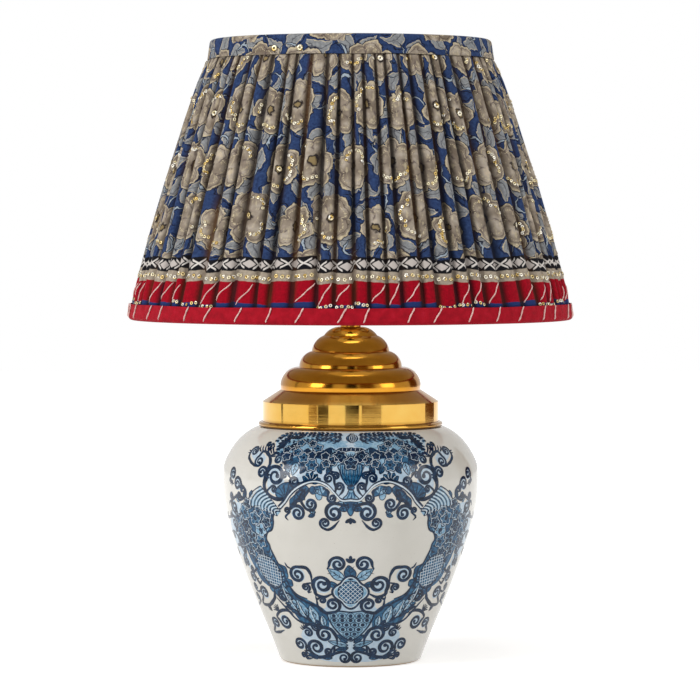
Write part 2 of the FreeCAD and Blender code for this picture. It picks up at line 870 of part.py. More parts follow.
def make_struts():
    along = Vector(bottom_ring_radius - top_ring_radius, 0, bottom_ring_height - top_ring_height)
    length = along.Length - 2 * (ring_wire_radius + weld_gap)
    heading = along.normalize()
    start = at(top_ring_radius, top_ring_height) + heading * (ring_wire_radius + weld_gap)
    struts = []
    for index in range(strut_count):
        strut = Part.makeCylinder(strut_radius, length, start, heading)
        strut.rotate(Vector(), Z_AXIS, (index + 0.5) * 360 / strut_count)
        struts.append(strut)
    return Part.makeCompound(struts)


def spider_arms(radius):
    """Three wires from the top ring, stepped down to the hub so the finial stays under the shade's rim."""
    middle = spider_seat + spider_hub / 2
    start = top_ring_radius - ring_wire_radius - weld_gap
    points = [
        at(start, top_ring_height),
        at(start - spider_shelf, top_ring_height),
        at(start - spider_shelf - spider_slant, middle),
        at(spider_hub_radius + weld_gap, middle),
    ]
    arms = []
    for index in range(spider_arm_count):
        arm = rod(rounded_path(points, [spider_bend_radius] * 2), radius)
        arm.rotate(Vector(), Z_AXIS, 90 + index * 360 / spider_arm_count)
        arms.append(arm)
    return arms


def make_spider_arms():
    return Part.makeCompound(spider_arms(spider_arm_radius))


def make_spider_hub():
    return ring(stud_radius + running_gap, spider_hub_radius, spider_seat, spider_seat + spider_hub)


# Shade cloth

lining_offset = ring_wire_radius * slope_stretch + seat_gap
cover_offset = strut_radius * slope_stretch + seat_gap
cover_bottom = shade_bottom_height + bottom_binding_height - cover_tuck
cover_top = shade_top_height - top_binding_height + cover_tuck


def lining_radius(height, inside):
    """The lining's outer skin at a height, or its inner skin."""
    depth = lining_offset + (lining_thickness * slope_stretch if inside else 0)
    return frame_radius(height) - depth


def make_lining():
    bottom = bottom_ring_height + ring_wire_radius
    top = top_ring_height - ring_wire_radius
    return turned(
        (lining_radius(bottom, True), bottom),
        ("line", (lining_radius(bottom, False), bottom)),
        ("line", (lining_radius(top, False), top)),
        ("line", (lining_radius(top, True), top)),
    )


def fold_plan():
    """Where each fold starts and how deep it is. They differ, as gathered cloth's do."""
    widths = []
    depths = []
    for index in range(fold_count):
        wobble = math.sin(fold_wobble_step * index * index)
        widths.append(1 + fold_width_wobble_share * wobble)
        depths.append(1 + fold_depth_wobble_share * math.cos(fold_wobble_step * index))
    total = sum(widths)
    plan = []
    start = 0.0
    for width, depth in zip(widths, depths):
        plan.append((start, 2 * math.pi * width / total, depth))
        start += 2 * math.pi * width / total
    return plan


def fold_wire(height, depth, inset):
    """The gathered cloth's outline at a height: from each valley up a flank and over a rounded crest."""
    valley_radius = frame_radius(height) + cover_offset + cover_thickness - inset
    points = []
    for start, width, own_depth in fold_plan():
        for along, up in fold_profile_shares:
            radius = valley_radius + up * depth * own_depth
            angle = start + along * width
            points.append(Vector(radius * math.cos(angle), radius * math.sin(angle), height))
    return Part.makePolygon(points + points[:1])


def make_cover():
    """A thin gathered sheet: two pleated skins, ruled from level to level, closed by a rim at each end."""
    outer = []
    inner = []
    for up, deep in fold_section_shares:
        height = cover_bottom + up * (cover_top - cover_bottom)
        outer.append(fold_wire(height, deep * fold_depth, 0.0))
        inner.append(fold_wire(height, deep * fold_depth, cover_thickness))
    faces = Part.makeLoft(outer, False, True).Faces
    faces += Part.makeLoft(inner, False, True).Faces
    for outside, inside in ((outer[0], inner[0]), (outer[-1], inner[-1])):
        faces.append(Part.Face(outside).cut(Part.Face(inside)).Faces[0])
    shell = Part.makeShell(faces)
    shell.sewShape()
    return Part.makeSolid(shell)


def folded_strip(edge, up, reach, edge_radius, bend_radius):
    """A strip of cloth folded round a ring: a leaf outside the gathers and one inside the lining."""
    bend = binding_bend_radius
    skin = binding_thickness
    level = edge + up * bend
    end = edge + up * reach
    tip = edge + up * binding_inside_height
    inner_bend = lining_radius(level, True) - weld_gap - skin + bend
    inner_tip = lining_radius(tip, True) - weld_gap
    return turned(
        (edge_radius - skin, end),
        ("line", (edge_radius, end)),
        *corner((bend_radius - bend, level), bend, 0, -90 * up),
        *corner((inner_bend, level), bend, -90 * up, -180 * up),
        ("line", (inner_tip - skin, tip)),
        ("line", (inner_tip, tip)),
        *corner((inner_bend, level), bend - skin, -180 * up, -90 * up),
        *corner((bend_radius - bend, level), bend - skin, -90 * up, 0),
    )


def make_top_binding():
    """The strip over the top ring, slit where the spider's arms come through it."""
    strip = folded_strip(shade_top_height, -1, top_binding_height, top_ring_radius + top_binding_lip,
                         top_ring_radius + top_binding_bulge)
    for arm in spider_arms(spider_arm_radius + seat_gap):
        strip = strip.cut(arm)
    return strip


def make_bottom_binding():
    return folded_strip(shade_bottom_height, 1, bottom_binding_height, bottom_ring_radius + bottom_binding_lip,
                        bottom_ring_radius + bottom_binding_bulge)


PIECES = {
    "jar": make_jar,
    "cord_bush": make_cord_bush,
    "threaded_tube": make_tube,
    "soft_washer": make_soft_washer,
    "steel_washer": make_steel_washer,
    "clamp_nut": make_nut,
    "brass_lid": make_lid,
    "check_ring": make_check_ring,
    "harp_saddle": make_saddle,
    "harp": make_harp,
    "ferrule_left": lambda: make_ferrule(-1),
    "ferrule_right": lambda: make_ferrule(1),
    "harp_stud": make_stud,
    "finial": make_finial,
    "holder_cap": make_holder_cap,
    "holder_grub_screw": make_grub_screw,
    "holder_shell": make_holder_shell,
    "holder_lining": make_holder_lining,
    "holder_core": make_holder_core,
    "terminal_live": lambda: make_terminal(1),
    "terminal_neutral": lambda: make_terminal(-1),
    "screw_shell": make_screw_shell,
    "contact_tongue": make_contact,
    "turn_key": make_key,
    "bulb_tip": make_bulb_tip,
    "bulb_insulator": make_bulb_insulator,
    "bulb_cap": make_bulb_cap,
    "bulb_glass": make_bulb_glass,
    "bulb_stem": make_bulb_stem,
    "bulb_filaments": make_bulb_filaments,
    "shade_top_ring": lambda: make_ring(top_ring_radius, top_ring_height),
    "shade_bottom_ring": lambda: make_ring(bottom_ring_radius, bottom_ring_height),
    "shade_struts": make_struts,
    "spider_arms": make_spider_arms,
    "spider_hub": make_spider_hub,
    "shade_lining": make_lining,
    "shade_cover": make_cover,
    "top_binding": make_top_binding,
    "bottom_binding": make_bottom_binding,
}

os.makedirs("parts", exist_ok=True)
for name, make in PIECES.items():
    shape = make()
    box = shape.BoundBox
    print(f"{name}: {len(shape.Solids)} solids, {len(shape.Faces)} faces, valid {shape.isValid()}, "
          f"volume {shape.Volume:.1f}, z {box.ZMin:.1f} to {box.ZMax:.1f}, reach {box.XMax:.1f}")
    shape.exportStep(f"parts/{name}.step")
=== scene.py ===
# %% [markdown]
# A jar table lamp, dressed for the camera. The solid model comes in as a fixed frame, in metres, with every
# rigid piece already in its place, so nothing here is moved to fit. It could all be modelled again from the
# photograph, but then the moving pieces and the sizes would drift apart. This lesson gives each piece its
# finish, makes the cloth of the shade, paints the jar, and lights a small studio.

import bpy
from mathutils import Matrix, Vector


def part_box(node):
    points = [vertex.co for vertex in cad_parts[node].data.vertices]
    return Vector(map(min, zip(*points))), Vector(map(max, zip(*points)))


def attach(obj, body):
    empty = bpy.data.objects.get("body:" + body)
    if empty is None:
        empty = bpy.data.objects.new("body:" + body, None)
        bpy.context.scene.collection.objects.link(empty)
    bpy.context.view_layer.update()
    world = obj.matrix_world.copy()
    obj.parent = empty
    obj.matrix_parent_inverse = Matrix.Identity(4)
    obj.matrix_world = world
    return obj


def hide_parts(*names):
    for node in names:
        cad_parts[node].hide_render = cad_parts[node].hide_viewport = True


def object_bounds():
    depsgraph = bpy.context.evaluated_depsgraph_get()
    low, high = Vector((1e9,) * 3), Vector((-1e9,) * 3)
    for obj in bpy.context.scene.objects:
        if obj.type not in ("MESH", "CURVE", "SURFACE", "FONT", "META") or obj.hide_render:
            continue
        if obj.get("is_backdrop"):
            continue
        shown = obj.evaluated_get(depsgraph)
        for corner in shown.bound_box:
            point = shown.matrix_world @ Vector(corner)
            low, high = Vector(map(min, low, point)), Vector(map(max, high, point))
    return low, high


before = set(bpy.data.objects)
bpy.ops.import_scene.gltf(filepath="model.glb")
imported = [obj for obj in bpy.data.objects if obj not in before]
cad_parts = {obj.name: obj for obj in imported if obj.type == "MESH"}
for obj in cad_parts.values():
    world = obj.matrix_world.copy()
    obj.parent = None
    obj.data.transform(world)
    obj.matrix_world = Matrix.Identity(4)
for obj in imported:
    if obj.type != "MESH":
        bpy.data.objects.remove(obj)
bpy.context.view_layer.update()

# %% [markdown]
# Blender counts in metres, while most sizes of a lamp are a few millimetres, so one short name turns them.
# Random numbers come from one seeded source, so that every run gives the same lamp.

# %% Libraries, and one name for a millimetre
import math

import bpy
import numpy as np
from mathutils import Vector

MM = 0.001
rng = np.random.default_rng(4080)
print("a millimetre is", MM, "m")

# %% [markdown]
# The camera comes first, because the framing decides how much detail each piece needs. The photograph has
# little perspective: the rims of the shade are flat ellipses, and the horizon is a third of the way down. A
# long lens from 3.7 metres gives that, a little above the shade's lower edge and tipped down two degrees.

# %% The camera
CAMERA_DISTANCE = 3.67
CAMERA_HEIGHT = 0.448
CAMERA_TILT = 2.05
CAMERA_ASIDE = -0.6 * MM
LENS = 185.1
SENSOR = 36
bpy.ops.object.select_all(action="DESELECT")
bpy.ops.object.camera_add(
    location=(CAMERA_ASIDE, -CAMERA_DISTANCE, CAMERA_HEIGHT),
    rotation=(math.radians(90 - CAMERA_TILT), 0, 0),
)
camera = bpy.context.object
camera.data.sensor_width = SENSOR
camera.data.lens = LENS
bpy.context.scene.camera = camera
bpy.context.scene.view_settings.view_transform = "Standard"
print("lens", LENS, "mm at", CAMERA_DISTANCE, "m")

# %% [markdown]
# Every finish below is a small tree of shader nodes. One function adds a node with its settings and links,
# so that a whole tree reads like a recipe. A value that is a node brings that node's first output, and a
# text that starts with # is an sRGB colour, turned to the linear light that shaders work in.

# %% A colour, a node and a finish
def linear(code):
    """An sRGB hex colour as linear red, green, blue and alpha."""
    channels = [int(code[i:i + 2], 16) / 255 for i in (1, 3, 5)]
    return [c / 12.92 if c <= 0.04045 else ((c + 0.055) / 1.055) ** 2.4 for c in channels] + [1.0]


def put(tree, kind, *values, stops=(), **settings):
    """Adds a node: its kind and operation, values for its first inputs, and other settings by name."""
    kind, _, operation = kind.partition(".")
    node = tree.nodes.new("ShaderNode" + kind)
    if operation:
        node.operation = operation
    inputs = dict(enumerate(values))
    for name, value in settings.items():
        if hasattr(node, name):
            setattr(node, name, value)
        else:
            inputs[name.replace("_", " ")] = value
    for place, value in inputs.items():
        if isinstance(value, str):
            value = linear(value)
        if isinstance(value, bpy.types.Node):
            value = value.outputs[0]
        if isinstance(value, bpy.types.NodeSocket):
            tree.links.new(value, node.inputs[place])
        else:
            node.inputs[place].default_value = value
    for position, colour in stops:
        at_hand = node.color_ramp.elements
        stop = at_hand[0] if position == stops[0][0] else at_hand.new(position)
        stop.position = position
        stop.color = linear(colour)
    if stops:
        at_hand.remove(at_hand[-1])
    return node


def new_finish(name):
    """A new material's node tree, still empty."""
    material = bpy.data.materials.new(name)
    material.use_nodes = True
    material.node_tree.nodes.clear()
    return material.node_tree


def give(finish, *names):
    """Puts a finish into the material slots of CAD nodes."""
    for name in names:
        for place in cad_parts[name].material_slots:
            place.material = bpy.data.materials[finish]


print("a colour such as #e3e0d8 is", [round(c, 3) for c in linear("#e3e0d8")], "in linear light")

# %% [markdown]
# The photograph is a studio shot on white, with no edge between table and wall. The floor is a pale plane
# that takes the lamp's soft shadow, and to the camera it also glows a little, so that it ends as white as
# the background. The light is plain: one large soft lamp at each side, a weaker one above, and a dim sky.

# %% The studio's floor
FLOOR_SIDE = 14
FLOOR_GLOW = 0.56
GLOW_FROM, GLOW_TO = 0.35, 1.1
tree = new_finish("pale_floor")
path = put(tree, "LightPath")
place = put(tree, "TexCoord").outputs["Object"]
seen = put(tree, "Math.MAXIMUM", path.outputs["Is Camera Ray"], path.outputs["Is Glossy Ray"])
away = put(tree, "VectorMath.LENGTH", place).outputs["Value"]
lit = put(tree, "MapRange", away, GLOW_FROM, GLOW_TO, FLOOR_GLOW, 1.0)
grain = put(tree, "TexNoise", place, Scale=9.0, Detail=3.0)
paper = put(tree, "ValToRGB", grain, stops=((0.3, "#e9e8e6"), (0.7, "#ecebe9")))
matt = put(tree, "BsdfDiffuse", paper)
glow = put(tree, "Emission", "#ffffff", put(tree, "Math.MULTIPLY", seen, lit))
put(tree, "OutputMaterial", put(tree, "AddShader", matt, glow))
bpy.ops.mesh.primitive_plane_add(size=FLOOR_SIDE)
bpy.ops.object.mode_set(mode="EDIT")
bpy.ops.mesh.subdivide(number_cuts=3)
bpy.ops.object.mode_set(mode="OBJECT")
floor = bpy.context.object
floor.name = "studio_floor"
floor.data.materials.append(bpy.data.materials["pale_floor"])
floor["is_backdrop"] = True
print("the floor is", FLOOR_SIDE, "m wide")

# %% [markdown]
# The sky is a world of one white. It lights the lamp weakly, and only the camera, glass and polished metal
# see it as white, through the outputs of the light path. Each lamp is an area light as large as a studio's
# soft box, turned to the lamp's middle, so that highlights on the glaze and the brass have soft, straight
# edges.

# %% The sky and the lamps
SKY_LIGHT = 0.36
SKY_IN_METAL = 0.8
world = bpy.data.worlds.new("studio")
world.use_nodes = True
bpy.context.scene.world = world
tree = world.node_tree
tree.nodes.clear()
path = put(tree, "LightPath")
seen = put(tree, "Math.MAXIMUM", path.outputs["Is Camera Ray"], path.outputs["Is Transmission Ray"])
shiny = put(tree, "Math.MULTIPLY", path.outputs["Is Glossy Ray"], SKY_IN_METAL)
level = put(tree, "Math.MAXIMUM", put(tree, "Math.MAXIMUM", seen, shiny), SKY_LIGHT)
put(tree, "OutputWorld", put(tree, "Background", "#ffffff", level))

LAMPS = (
    # name, place, width, height, watts
    ("lamp_left", (-2.5, -1.6, 1.3), 1.1, 1.9, 48),
    ("lamp_right", (2.6, -1.3, 1.2), 1.3, 1.9, 24),
    ("lamp_above", (0.2, -0.9, 2.9), 1.6, 1.2, 22),
)
LIT_PLACE = Vector((0, 0, 0.3))
for name, place, width, height, watts in LAMPS:
    bpy.ops.object.light_add(type="AREA", location=place)
    lamp = bpy.context.object
    lamp.name = name
    lamp.data.shape = "RECTANGLE"
    lamp.data.size = width
    lamp.data.size_y = height
    lamp.data.energy = watts
    lamp.rotation_mode = "QUATERNION"
    lamp.rotation_quaternion = (LIT_PLACE - Vector(place)).to_track_quat("-Z", "Y")
print("a dim sky and", len(LAMPS), "lamps")

# %% [markdown]
# Polished metal shows its surroundings, so the lid needs something dark to show as well. A photographer
# stands dark cards behind the camera for that. These are tall flat cards that only reflections see: in the
# plain band of the lid they become the upright dark and light bars of the photograph.

# %% Cards for the reflections
CARD_FOOT = -0.2
CARDS = (
    # name, angle from the camera's side, width, top, distance, colour
    ("card_camera", 2, 1.3, 2.6, 4.2, "#1c1710"),
    ("card_left", -36, 1.1, 2.8, 4.3, "#3f3626"),
    ("card_left_edge", -50, 0.9, 2.8, 4.4, "#8a6a3c"),
    ("card_right", 27, 2.0, 2.8, 4.4, "#7a5f38"),
    ("card_thin", -100, 0.25, 2.6, 4.3, "#1c1710"),
    ("card_far_right", 127, 2.0, 2.2, 4.3, "#6b4212"),
)
for name, azimuth, width, high, away, colour in CARDS:
    tree = new_finish(name)
    put(tree, "OutputMaterial", put(tree, "Emission", colour, 1.0))
    turn = math.radians(azimuth)
    bpy.ops.mesh.primitive_plane_add(size=1)
    card = bpy.context.object
    card.name = name
    card.rotation_euler = (math.radians(90), 0, turn)
    card.location = (away * math.sin(turn), -away * math.cos(turn), (CARD_FOOT + high) / 2)
    card.scale = (width, high - CARD_FOOT, 1)
    bpy.ops.object.transform_apply(location=True, rotation=True, scale=True)
    card.data.materials.append(bpy.data.materials[name])
    card.visible_camera = False
    card.visible_diffuse = False
    card.visible_shadow = False
    card.visible_transmission = False
    card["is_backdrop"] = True
print(len(CARDS), "cards that only reflections see")

# %% [markdown]
# The jar is tin-glazed earthenware: a warm, opaque white glaze that was poured on and fired. It pools and
# thins a little, and iron in the clay leaves tiny specks. The foot ring was wiped bare so that it wouldn't
# stick in the kiln. A slow noise tints the white, a fine one gives the glaze its faintly uneven skin.

# %% Tin glaze and bare clay
GLAZE_EDGE, CLAY_EDGE = 2.2 * MM, 1.2 * MM
tree = new_finish("tin_glaze_on_earthenware")
place = put(tree, "TexCoord").outputs["Object"]
height = put(tree, "SeparateXYZ", place).outputs["Z"]
cloudy = put(tree, "TexNoise", place, Scale=14.0, Detail=4.0)
white = put(tree, "ValToRGB", cloudy, stops=((0.3, "#d9d6cd"), (0.62, "#e3e0d8")))
speckle = put(tree, "TexNoise", place, Scale=620.0, Detail=1.0)
iron = put(tree, "ValToRGB", speckle, stops=((0.74, "#000000"), (0.79, "#ffffff")))
with_iron = put(tree, "MixRGB", put(tree, "Math.MULTIPLY", iron, 0.35), white, "#8d7f6c")
grit = put(tree, "TexNoise", place, Scale=420.0)
clay = put(tree, "ValToRGB", grit, stops=((0.3, "#b99f80"), (0.7, "#cdb497")))
bare = put(tree, "MapRange", height, GLAZE_EDGE, CLAY_EDGE)
colour = put(tree, "MixRGB", bare.outputs[0], with_iron, clay)
wavy = put(tree, "TexNoise", place, Scale=34.0, Detail=2.0)
skin = put(tree, "Bump", Height=wavy, Strength=0.35, Distance=0.9 * MM)
pits = put(tree, "TexNoise", place, Scale=900.0)
skin = put(tree, "Bump", Height=pits, Strength=0.05, Distance=0.3 * MM, Normal=skin)
sheen = put(tree, "MapRange", bare, 0.0, 1.0, 0.09, 0.75)
put(tree, "OutputMaterial", put(tree, "BsdfPrincipled", colour, Roughness=sheen, IOR=1.52, Normal=skin))
give("tin_glaze_on_earthenware", "jar")
print("glazed down to", round(GLAZE_EDGE * 1000, 1), "mm above the table")

# %% [markdown]
# The lid is brass sheet, spun over a form on a lathe, polished and lacquered. Spinning leaves fine rings.
# The domes are painted a darker amber than the band: painted shade for the dark reflections that their upper
# faces catch. The rolled bead turns darker from its top down. Rings come from a noise that changes fast with
# height, and the amber and the darker bead from height and a slow noise.

# %% Polished and lacquered brass
BAND_TOP, DOMES_FOOT = 263.5 * MM, 268 * MM
BEAD_TOP, BEAD_MIDDLE = 247.5 * MM, 244.5 * MM
tree = new_finish("polished_aged_brass")
place = put(tree, "TexCoord").outputs["Object"]
height = put(tree, "SeparateXYZ", place).outputs["Z"]
clouds = put(tree, "TexNoise", place, Scale=16.0, Detail=5.0, Roughness=0.6)
# The domes' darker amber is painted shade, for the dark reflections of their upper faces.
amber_painted_shade = put(tree, "ValToRGB", clouds, stops=((0.3, "#b5781f"), (0.65, "#c68c31")))
bright = put(tree, "ValToRGB", clouds, stops=((0.3, "#d09c40"), (0.65, "#dcb35e")))
above_band = put(tree, "MapRange", height, BAND_TOP, DOMES_FOOT)
colour = put(tree, "MixRGB", above_band, bright, amber_painted_shade)
# The rolled bead turns darker brass from its top down.
bead_darkening = put(tree, "MapRange", height, BEAD_TOP, BEAD_MIDDLE)
colour = put(tree, "MixRGB", put(tree, "Math.MULTIPLY", bead_darkening, 0.75), colour, "#9a6a24")
stretched = put(tree, "Mapping", place, Scale=(4.0, 4.0, 1500.0))
rings = put(tree, "TexNoise", stretched, Scale=1.0, Detail=2.0)
lathe = put(tree, "Bump", Height=rings, Strength=0.03, Distance=0.2 * MM)
dents = put(tree, "TexNoise", place, Scale=20.0, Detail=1.0)
lathe = put(tree, "Bump", Height=dents, Strength=0.25, Distance=1.2 * MM, Normal=lathe)
smears = put(tree, "TexNoise", place, Scale=45.0, Detail=6.0)
polish = put(tree, "MapRange", smears, 0.3, 0.75, 0.05, 0.11)
polish = put(tree, "Math.MULTIPLY_ADD", above_band.outputs[0], 0.08, polish)
put(tree, "OutputMaterial", put(tree, "BsdfPrincipled", colour, 1.0, polish, Normal=lathe))
give("polished_aged_brass", "brass_lid", "check_ring", "finial")
print("the lid is amber above", round(BAND_TOP * 1000, 1), "mm")

# %% [markdown]
# The harp, its saddle and ferrules, the stud and the lampholder are stamped, drawn or turned from brass and
# only brushed before lacquering, so they are paler and duller than the lid. Fine scratches run every way.

# %% Brushed brass
tree = new_finish("brushed_brass")
place = put(tree, "TexCoord").outputs["Object"]
clouds = put(tree, "TexNoise", place, Scale=60.0, Detail=4.0)
colour = put(tree, "ValToRGB", clouds, stops=((0.3, "#b58b3f"), (0.7, "#caa458")))
squeezed = put(tree, "Mapping", place, Scale=(1.0, 1.0, 7.0))
scratches = put(tree, "TexNoise", squeezed, Scale=900.0, Detail=2.0)
rough = put(tree, "MapRange", scratches, 0.3, 0.7, 0.22, 0.4)
marks = put(tree, "Bump", Height=scratches, Strength=0.12, Distance=0.1 * MM)
put(tree, "OutputMaterial", put(tree, "BsdfPrincipled", colour, 1.0, rough, Normal=marks))
give("brushed_brass", "cord_bush", "harp_saddle", "harp", "ferrule_left", "ferrule_right", "harp_stud",
     "holder_cap", "holder_shell", "terminal_live", "screw_shell", "contact_tongue", "spider_hub")
print("finishes so far:", [m.name for m in bpy.data.materials][-4:])

# %% [markdown]
# The small fittings hide under the shade, but they show from above and below. Steel is zinc plated and a
# little streaky, the washer is soft rubber, the holder's lining is vulcanised board, its core and the turn
# key are moulded phenolic resin, and the bulb's cap is nickel on brass. Each is one short recipe.

# %% Zinc, nickel, rubber, board and phenolic
SMALL_FINISHES = {
    # name: first colour, second colour, metallic, roughness from and to, noise across, bump in mm
    "zinc_plated_steel": ("#9c9ea2", "#bfc1c4", 1.0, 0.28, 0.5, 300.0, 0.05),
    "rolled_nickel": ("#b7b2a8", "#d0ccc2", 1.0, 0.2, 0.36, 400.0, 0.03),
    "soft_rubber": ("#1c1b1a", "#2b2927", 0.0, 0.7, 0.9, 500.0, 0.08),
    "fibre_board": ("#a8936f", "#c4b18f", 0.0, 0.8, 0.95, 700.0, 0.1),
    "moulded_phenolic": ("#120e0b", "#241a13", 0.0, 0.18, 0.35, 90.0, 0.02),
    "vitrified_black_glass": ("#08080a", "#17171b", 0.0, 0.05, 0.16, 120.0, 0.02),
    "enamelled_wire": ("#d6d2c6", "#e6e3da", 0.0, 0.3, 0.45, 160.0, 0.06),
}
for name, (first, second, metallic, smooth, rough, scale, depth) in SMALL_FINISHES.items():
    tree = new_finish(name)
    place = put(tree, "TexCoord").outputs["Object"]
    clouds = put(tree, "TexNoise", place, Scale=scale, Detail=4.0)
    colour = put(tree, "ValToRGB", clouds, stops=((0.3, first), (0.7, second)))
    uneven = put(tree, "MapRange", clouds, 0.3, 0.7, smooth, rough)
    skin = put(tree, "Bump", Height=clouds, Strength=0.4, Distance=depth * MM)
    put(tree, "OutputMaterial", put(tree, "BsdfPrincipled", colour, metallic, uneven, Normal=skin))
give("zinc_plated_steel", "threaded_tube", "steel_washer", "clamp_nut", "holder_grub_screw",
     "terminal_neutral", "bulb_tip")
give("rolled_nickel", "bulb_cap")
give("soft_rubber", "soft_washer")
give("fibre_board", "holder_lining")
give("moulded_phenolic", "holder_core", "turn_key")
give("vitrified_black_glass", "bulb_insulator")
give("enamelled_wire", "shade_top_ring", "shade_bottom_ring", "shade_struts", "spider_arms")
print(len(SMALL_FINISHES), "small finishes")

# %% [markdown]
# The bulb is clear soda-lime glass, blown, with sticks of light-emitting chips under yellow phosphor
# inside. Glass needs only its colour, smoothness and index of refraction. The sticks get a row of darker
# bands, one for each chip.

# %% Clear glass and phosphor
tree = new_finish("clear_blown_glass")
place = put(tree, "TexCoord").outputs["Object"]
seeds = put(tree, "TexNoise", place, Scale=40.0, Detail=1.0)
skin = put(tree, "Bump", Height=seeds, Strength=0.1, Distance=0.4 * MM)
smooth = put(tree, "MapRange", seeds, 0.3, 0.7, 0.0, 0.02)
put(tree, "OutputMaterial", put(tree, "BsdfPrincipled", "#f6f8f6", Roughness=smooth, IOR=1.5,
                                Transmission_Weight=1.0, Normal=skin))
give("clear_blown_glass", "bulb_glass", "bulb_stem")

tree = new_finish("phosphor_silicone")
place = put(tree, "TexCoord").outputs["Object"]
upright = put(tree, "Mapping", place, Scale=(0.0, 0.0, 1.0))
chips = put(tree, "TexWave", upright, Scale=160.0, bands_direction="Z")
colour = put(tree, "ValToRGB", chips, stops=((0.2, "#c98f1d"), (0.6, "#e9b93f")))
put(tree, "OutputMaterial", put(tree, "BsdfPrincipled", colour, Roughness=0.45))
give("phosphor_silicone", "bulb_filaments")
print("all", len(bpy.data.materials), "finishes for the solid pieces")

# %% [markdown]
# The shade's outer cloth is one long strip, gathered to the rings at top and bottom. A cloth simulation
# would make soft random folds, but a gathered shade has a sewn order: each fold is pulled straight between
# its stitches. So the sheet is worked out fold by fold, with widths and depths that differ as hand
# gathering does. One fold is a rounded crest with steep flanks and a narrow, dark valley.

# %% The plan of the folds
FOLDS = 70
FOLD_DEPTH = 7.1 * MM
CLOTH_SEAT = 2.76 * MM
# How far the folds stand out, from the cloth's bottom edge to its top: share of height, share of depth.
SECTION = np.array([(0.0, 0.35), (0.05, 0.62), (0.28, 0.9), (0.50, 1.0), (0.75, 0.90), (0.90, 0.68),
                    (0.985, 0.34), (1.0, 0.08)])
# One fold cut across: share of the way over it, and how far out of the valley.
CREST = np.array([(0.0, 0.0), (0.07, 0.05), (0.12, 0.32), (0.17, 0.58), (0.25, 0.81), (0.36, 0.96),
                  (0.47, 1.0), (0.59, 0.97), (0.71, 0.86), (0.81, 0.64), (0.88, 0.34), (0.93, 0.06),
                  (1.0, 0.0)])
CREST_STEPS = np.linspace(0, 1, len(CREST))

ring_low, ring_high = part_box("shade_top_ring")
WIRE = (ring_high.z - ring_low.z) / 2


def wire_ring(name):
    """The radius and height of the middle of a frame ring's wire."""
    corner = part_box(name)[1]
    return corner.x - WIRE, corner.z - WIRE


top_radius, top_level = wire_ring("shade_top_ring")
bottom_radius, bottom_level = wire_ring("shade_bottom_ring")
SLOPE = (bottom_radius - top_radius) / (top_level - bottom_level)
STRETCH = math.sqrt(1 + SLOPE * SLOPE)
cloth_low, cloth_high = (corner.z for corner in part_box("shade_cover"))

numbers = np.arange(FOLDS)
widths = 1 + 0.36 * np.sin(2.4 * numbers * numbers)
fold_widths = 2 * math.pi * widths / widths.sum()
fold_starts = np.concatenate(([0.0], np.cumsum(fold_widths)))[:-1]
fold_depths = 1 + 0.15 * np.cos(2.4 * numbers)
print(FOLDS, "folds, from", round(fold_widths.min() * bottom_radius * 1000, 1), "to",
      round(fold_widths.max() * bottom_radius * 1000, 1), "mm wide at the hem")

# %% [markdown]
# A point of the cloth is named by its fold, its share of the way across the fold and its height. One
# function turns that into a place in space, and the stitches and sequins use the same one later, so they
# lie on the cloth exactly. The cloth's own flat width follows from it: each fold is measured over its crest
# and laid flat.

# %% A point of the cloth
def round_axis(radius, turn, level):
    """Points round the axis, from how far out, how far round and how high they are."""
    return np.stack([radius * np.cos(turn), radius * np.sin(turn), level + 0 * turn], -1)


def run_along(points):
    """How far along a line each of its points is."""
    return np.concatenate(([0.0], np.cumsum(np.linalg.norm(np.diff(points, axis=0), axis=1))))


def frame_radius(level):
    """How far the shade's straight frame is from the axis at a height."""
    return top_radius + SLOPE * (top_level - level)


def on_cloth(fold, share, level, lift=0.0):
    """A point of the cloth's outer face: on a fold, a share of the way across it, at a height."""
    along = np.interp(share, CREST_STEPS, CREST[:, 0])
    up = np.interp(share, CREST_STEPS, CREST[:, 1])
    rise = (level - cloth_low) / (cloth_high - cloth_low)
    deep = np.interp(rise, SECTION[:, 0], SECTION[:, 1]) * FOLD_DEPTH * fold_depths[fold]
    sway = 0.05 * np.sin(fold * 1.7 + rise * 5.0) + 0.04 * np.sin(fold * 4.1 + rise * 11.0)
    lean = 0.10 * np.sin(fold * 2.9) * up
    taper = np.sin(math.pi * np.clip(rise, 0, 1)) ** 0.5
    turn = fold_starts[fold] + fold_widths[fold] * (along + (sway + lean) * taper * up)
    bulge = 0.03 * np.sin(fold * 3.3 + rise * 9.0) * up
    return round_axis(frame_radius(level) + CLOTH_SEAT + (up + bulge) * deep + lift, turn, level)


middle_level = (cloth_low + cloth_high) / 2
run = run_along(on_cloth(0, CREST_STEPS, middle_level))
run_shares = run / run[-1]
flat_widths = np.array([run_along(on_cloth(fold, np.linspace(0, 1, 25), middle_level))[-1]
                        for fold in range(FOLDS)])
flat_starts = np.concatenate(([0.0], np.cumsum(flat_widths)))
CLOTH_WIDTH = flat_starts[-1]
CLOTH_HEIGHT = (cloth_high - cloth_low) * STRETCH


def slip(fold, share):
    """How far up or down a fold was pulled when it was gathered: printed borders never quite meet."""
    return 1.6 * MM * np.sin(fold * 1.9) + 1.0 * MM * np.sin(fold * 5.3 + share * 3.0)


print("the cloth is", round(CLOTH_WIDTH, 3), "m by", round(CLOTH_HEIGHT, 3), "m when laid flat")
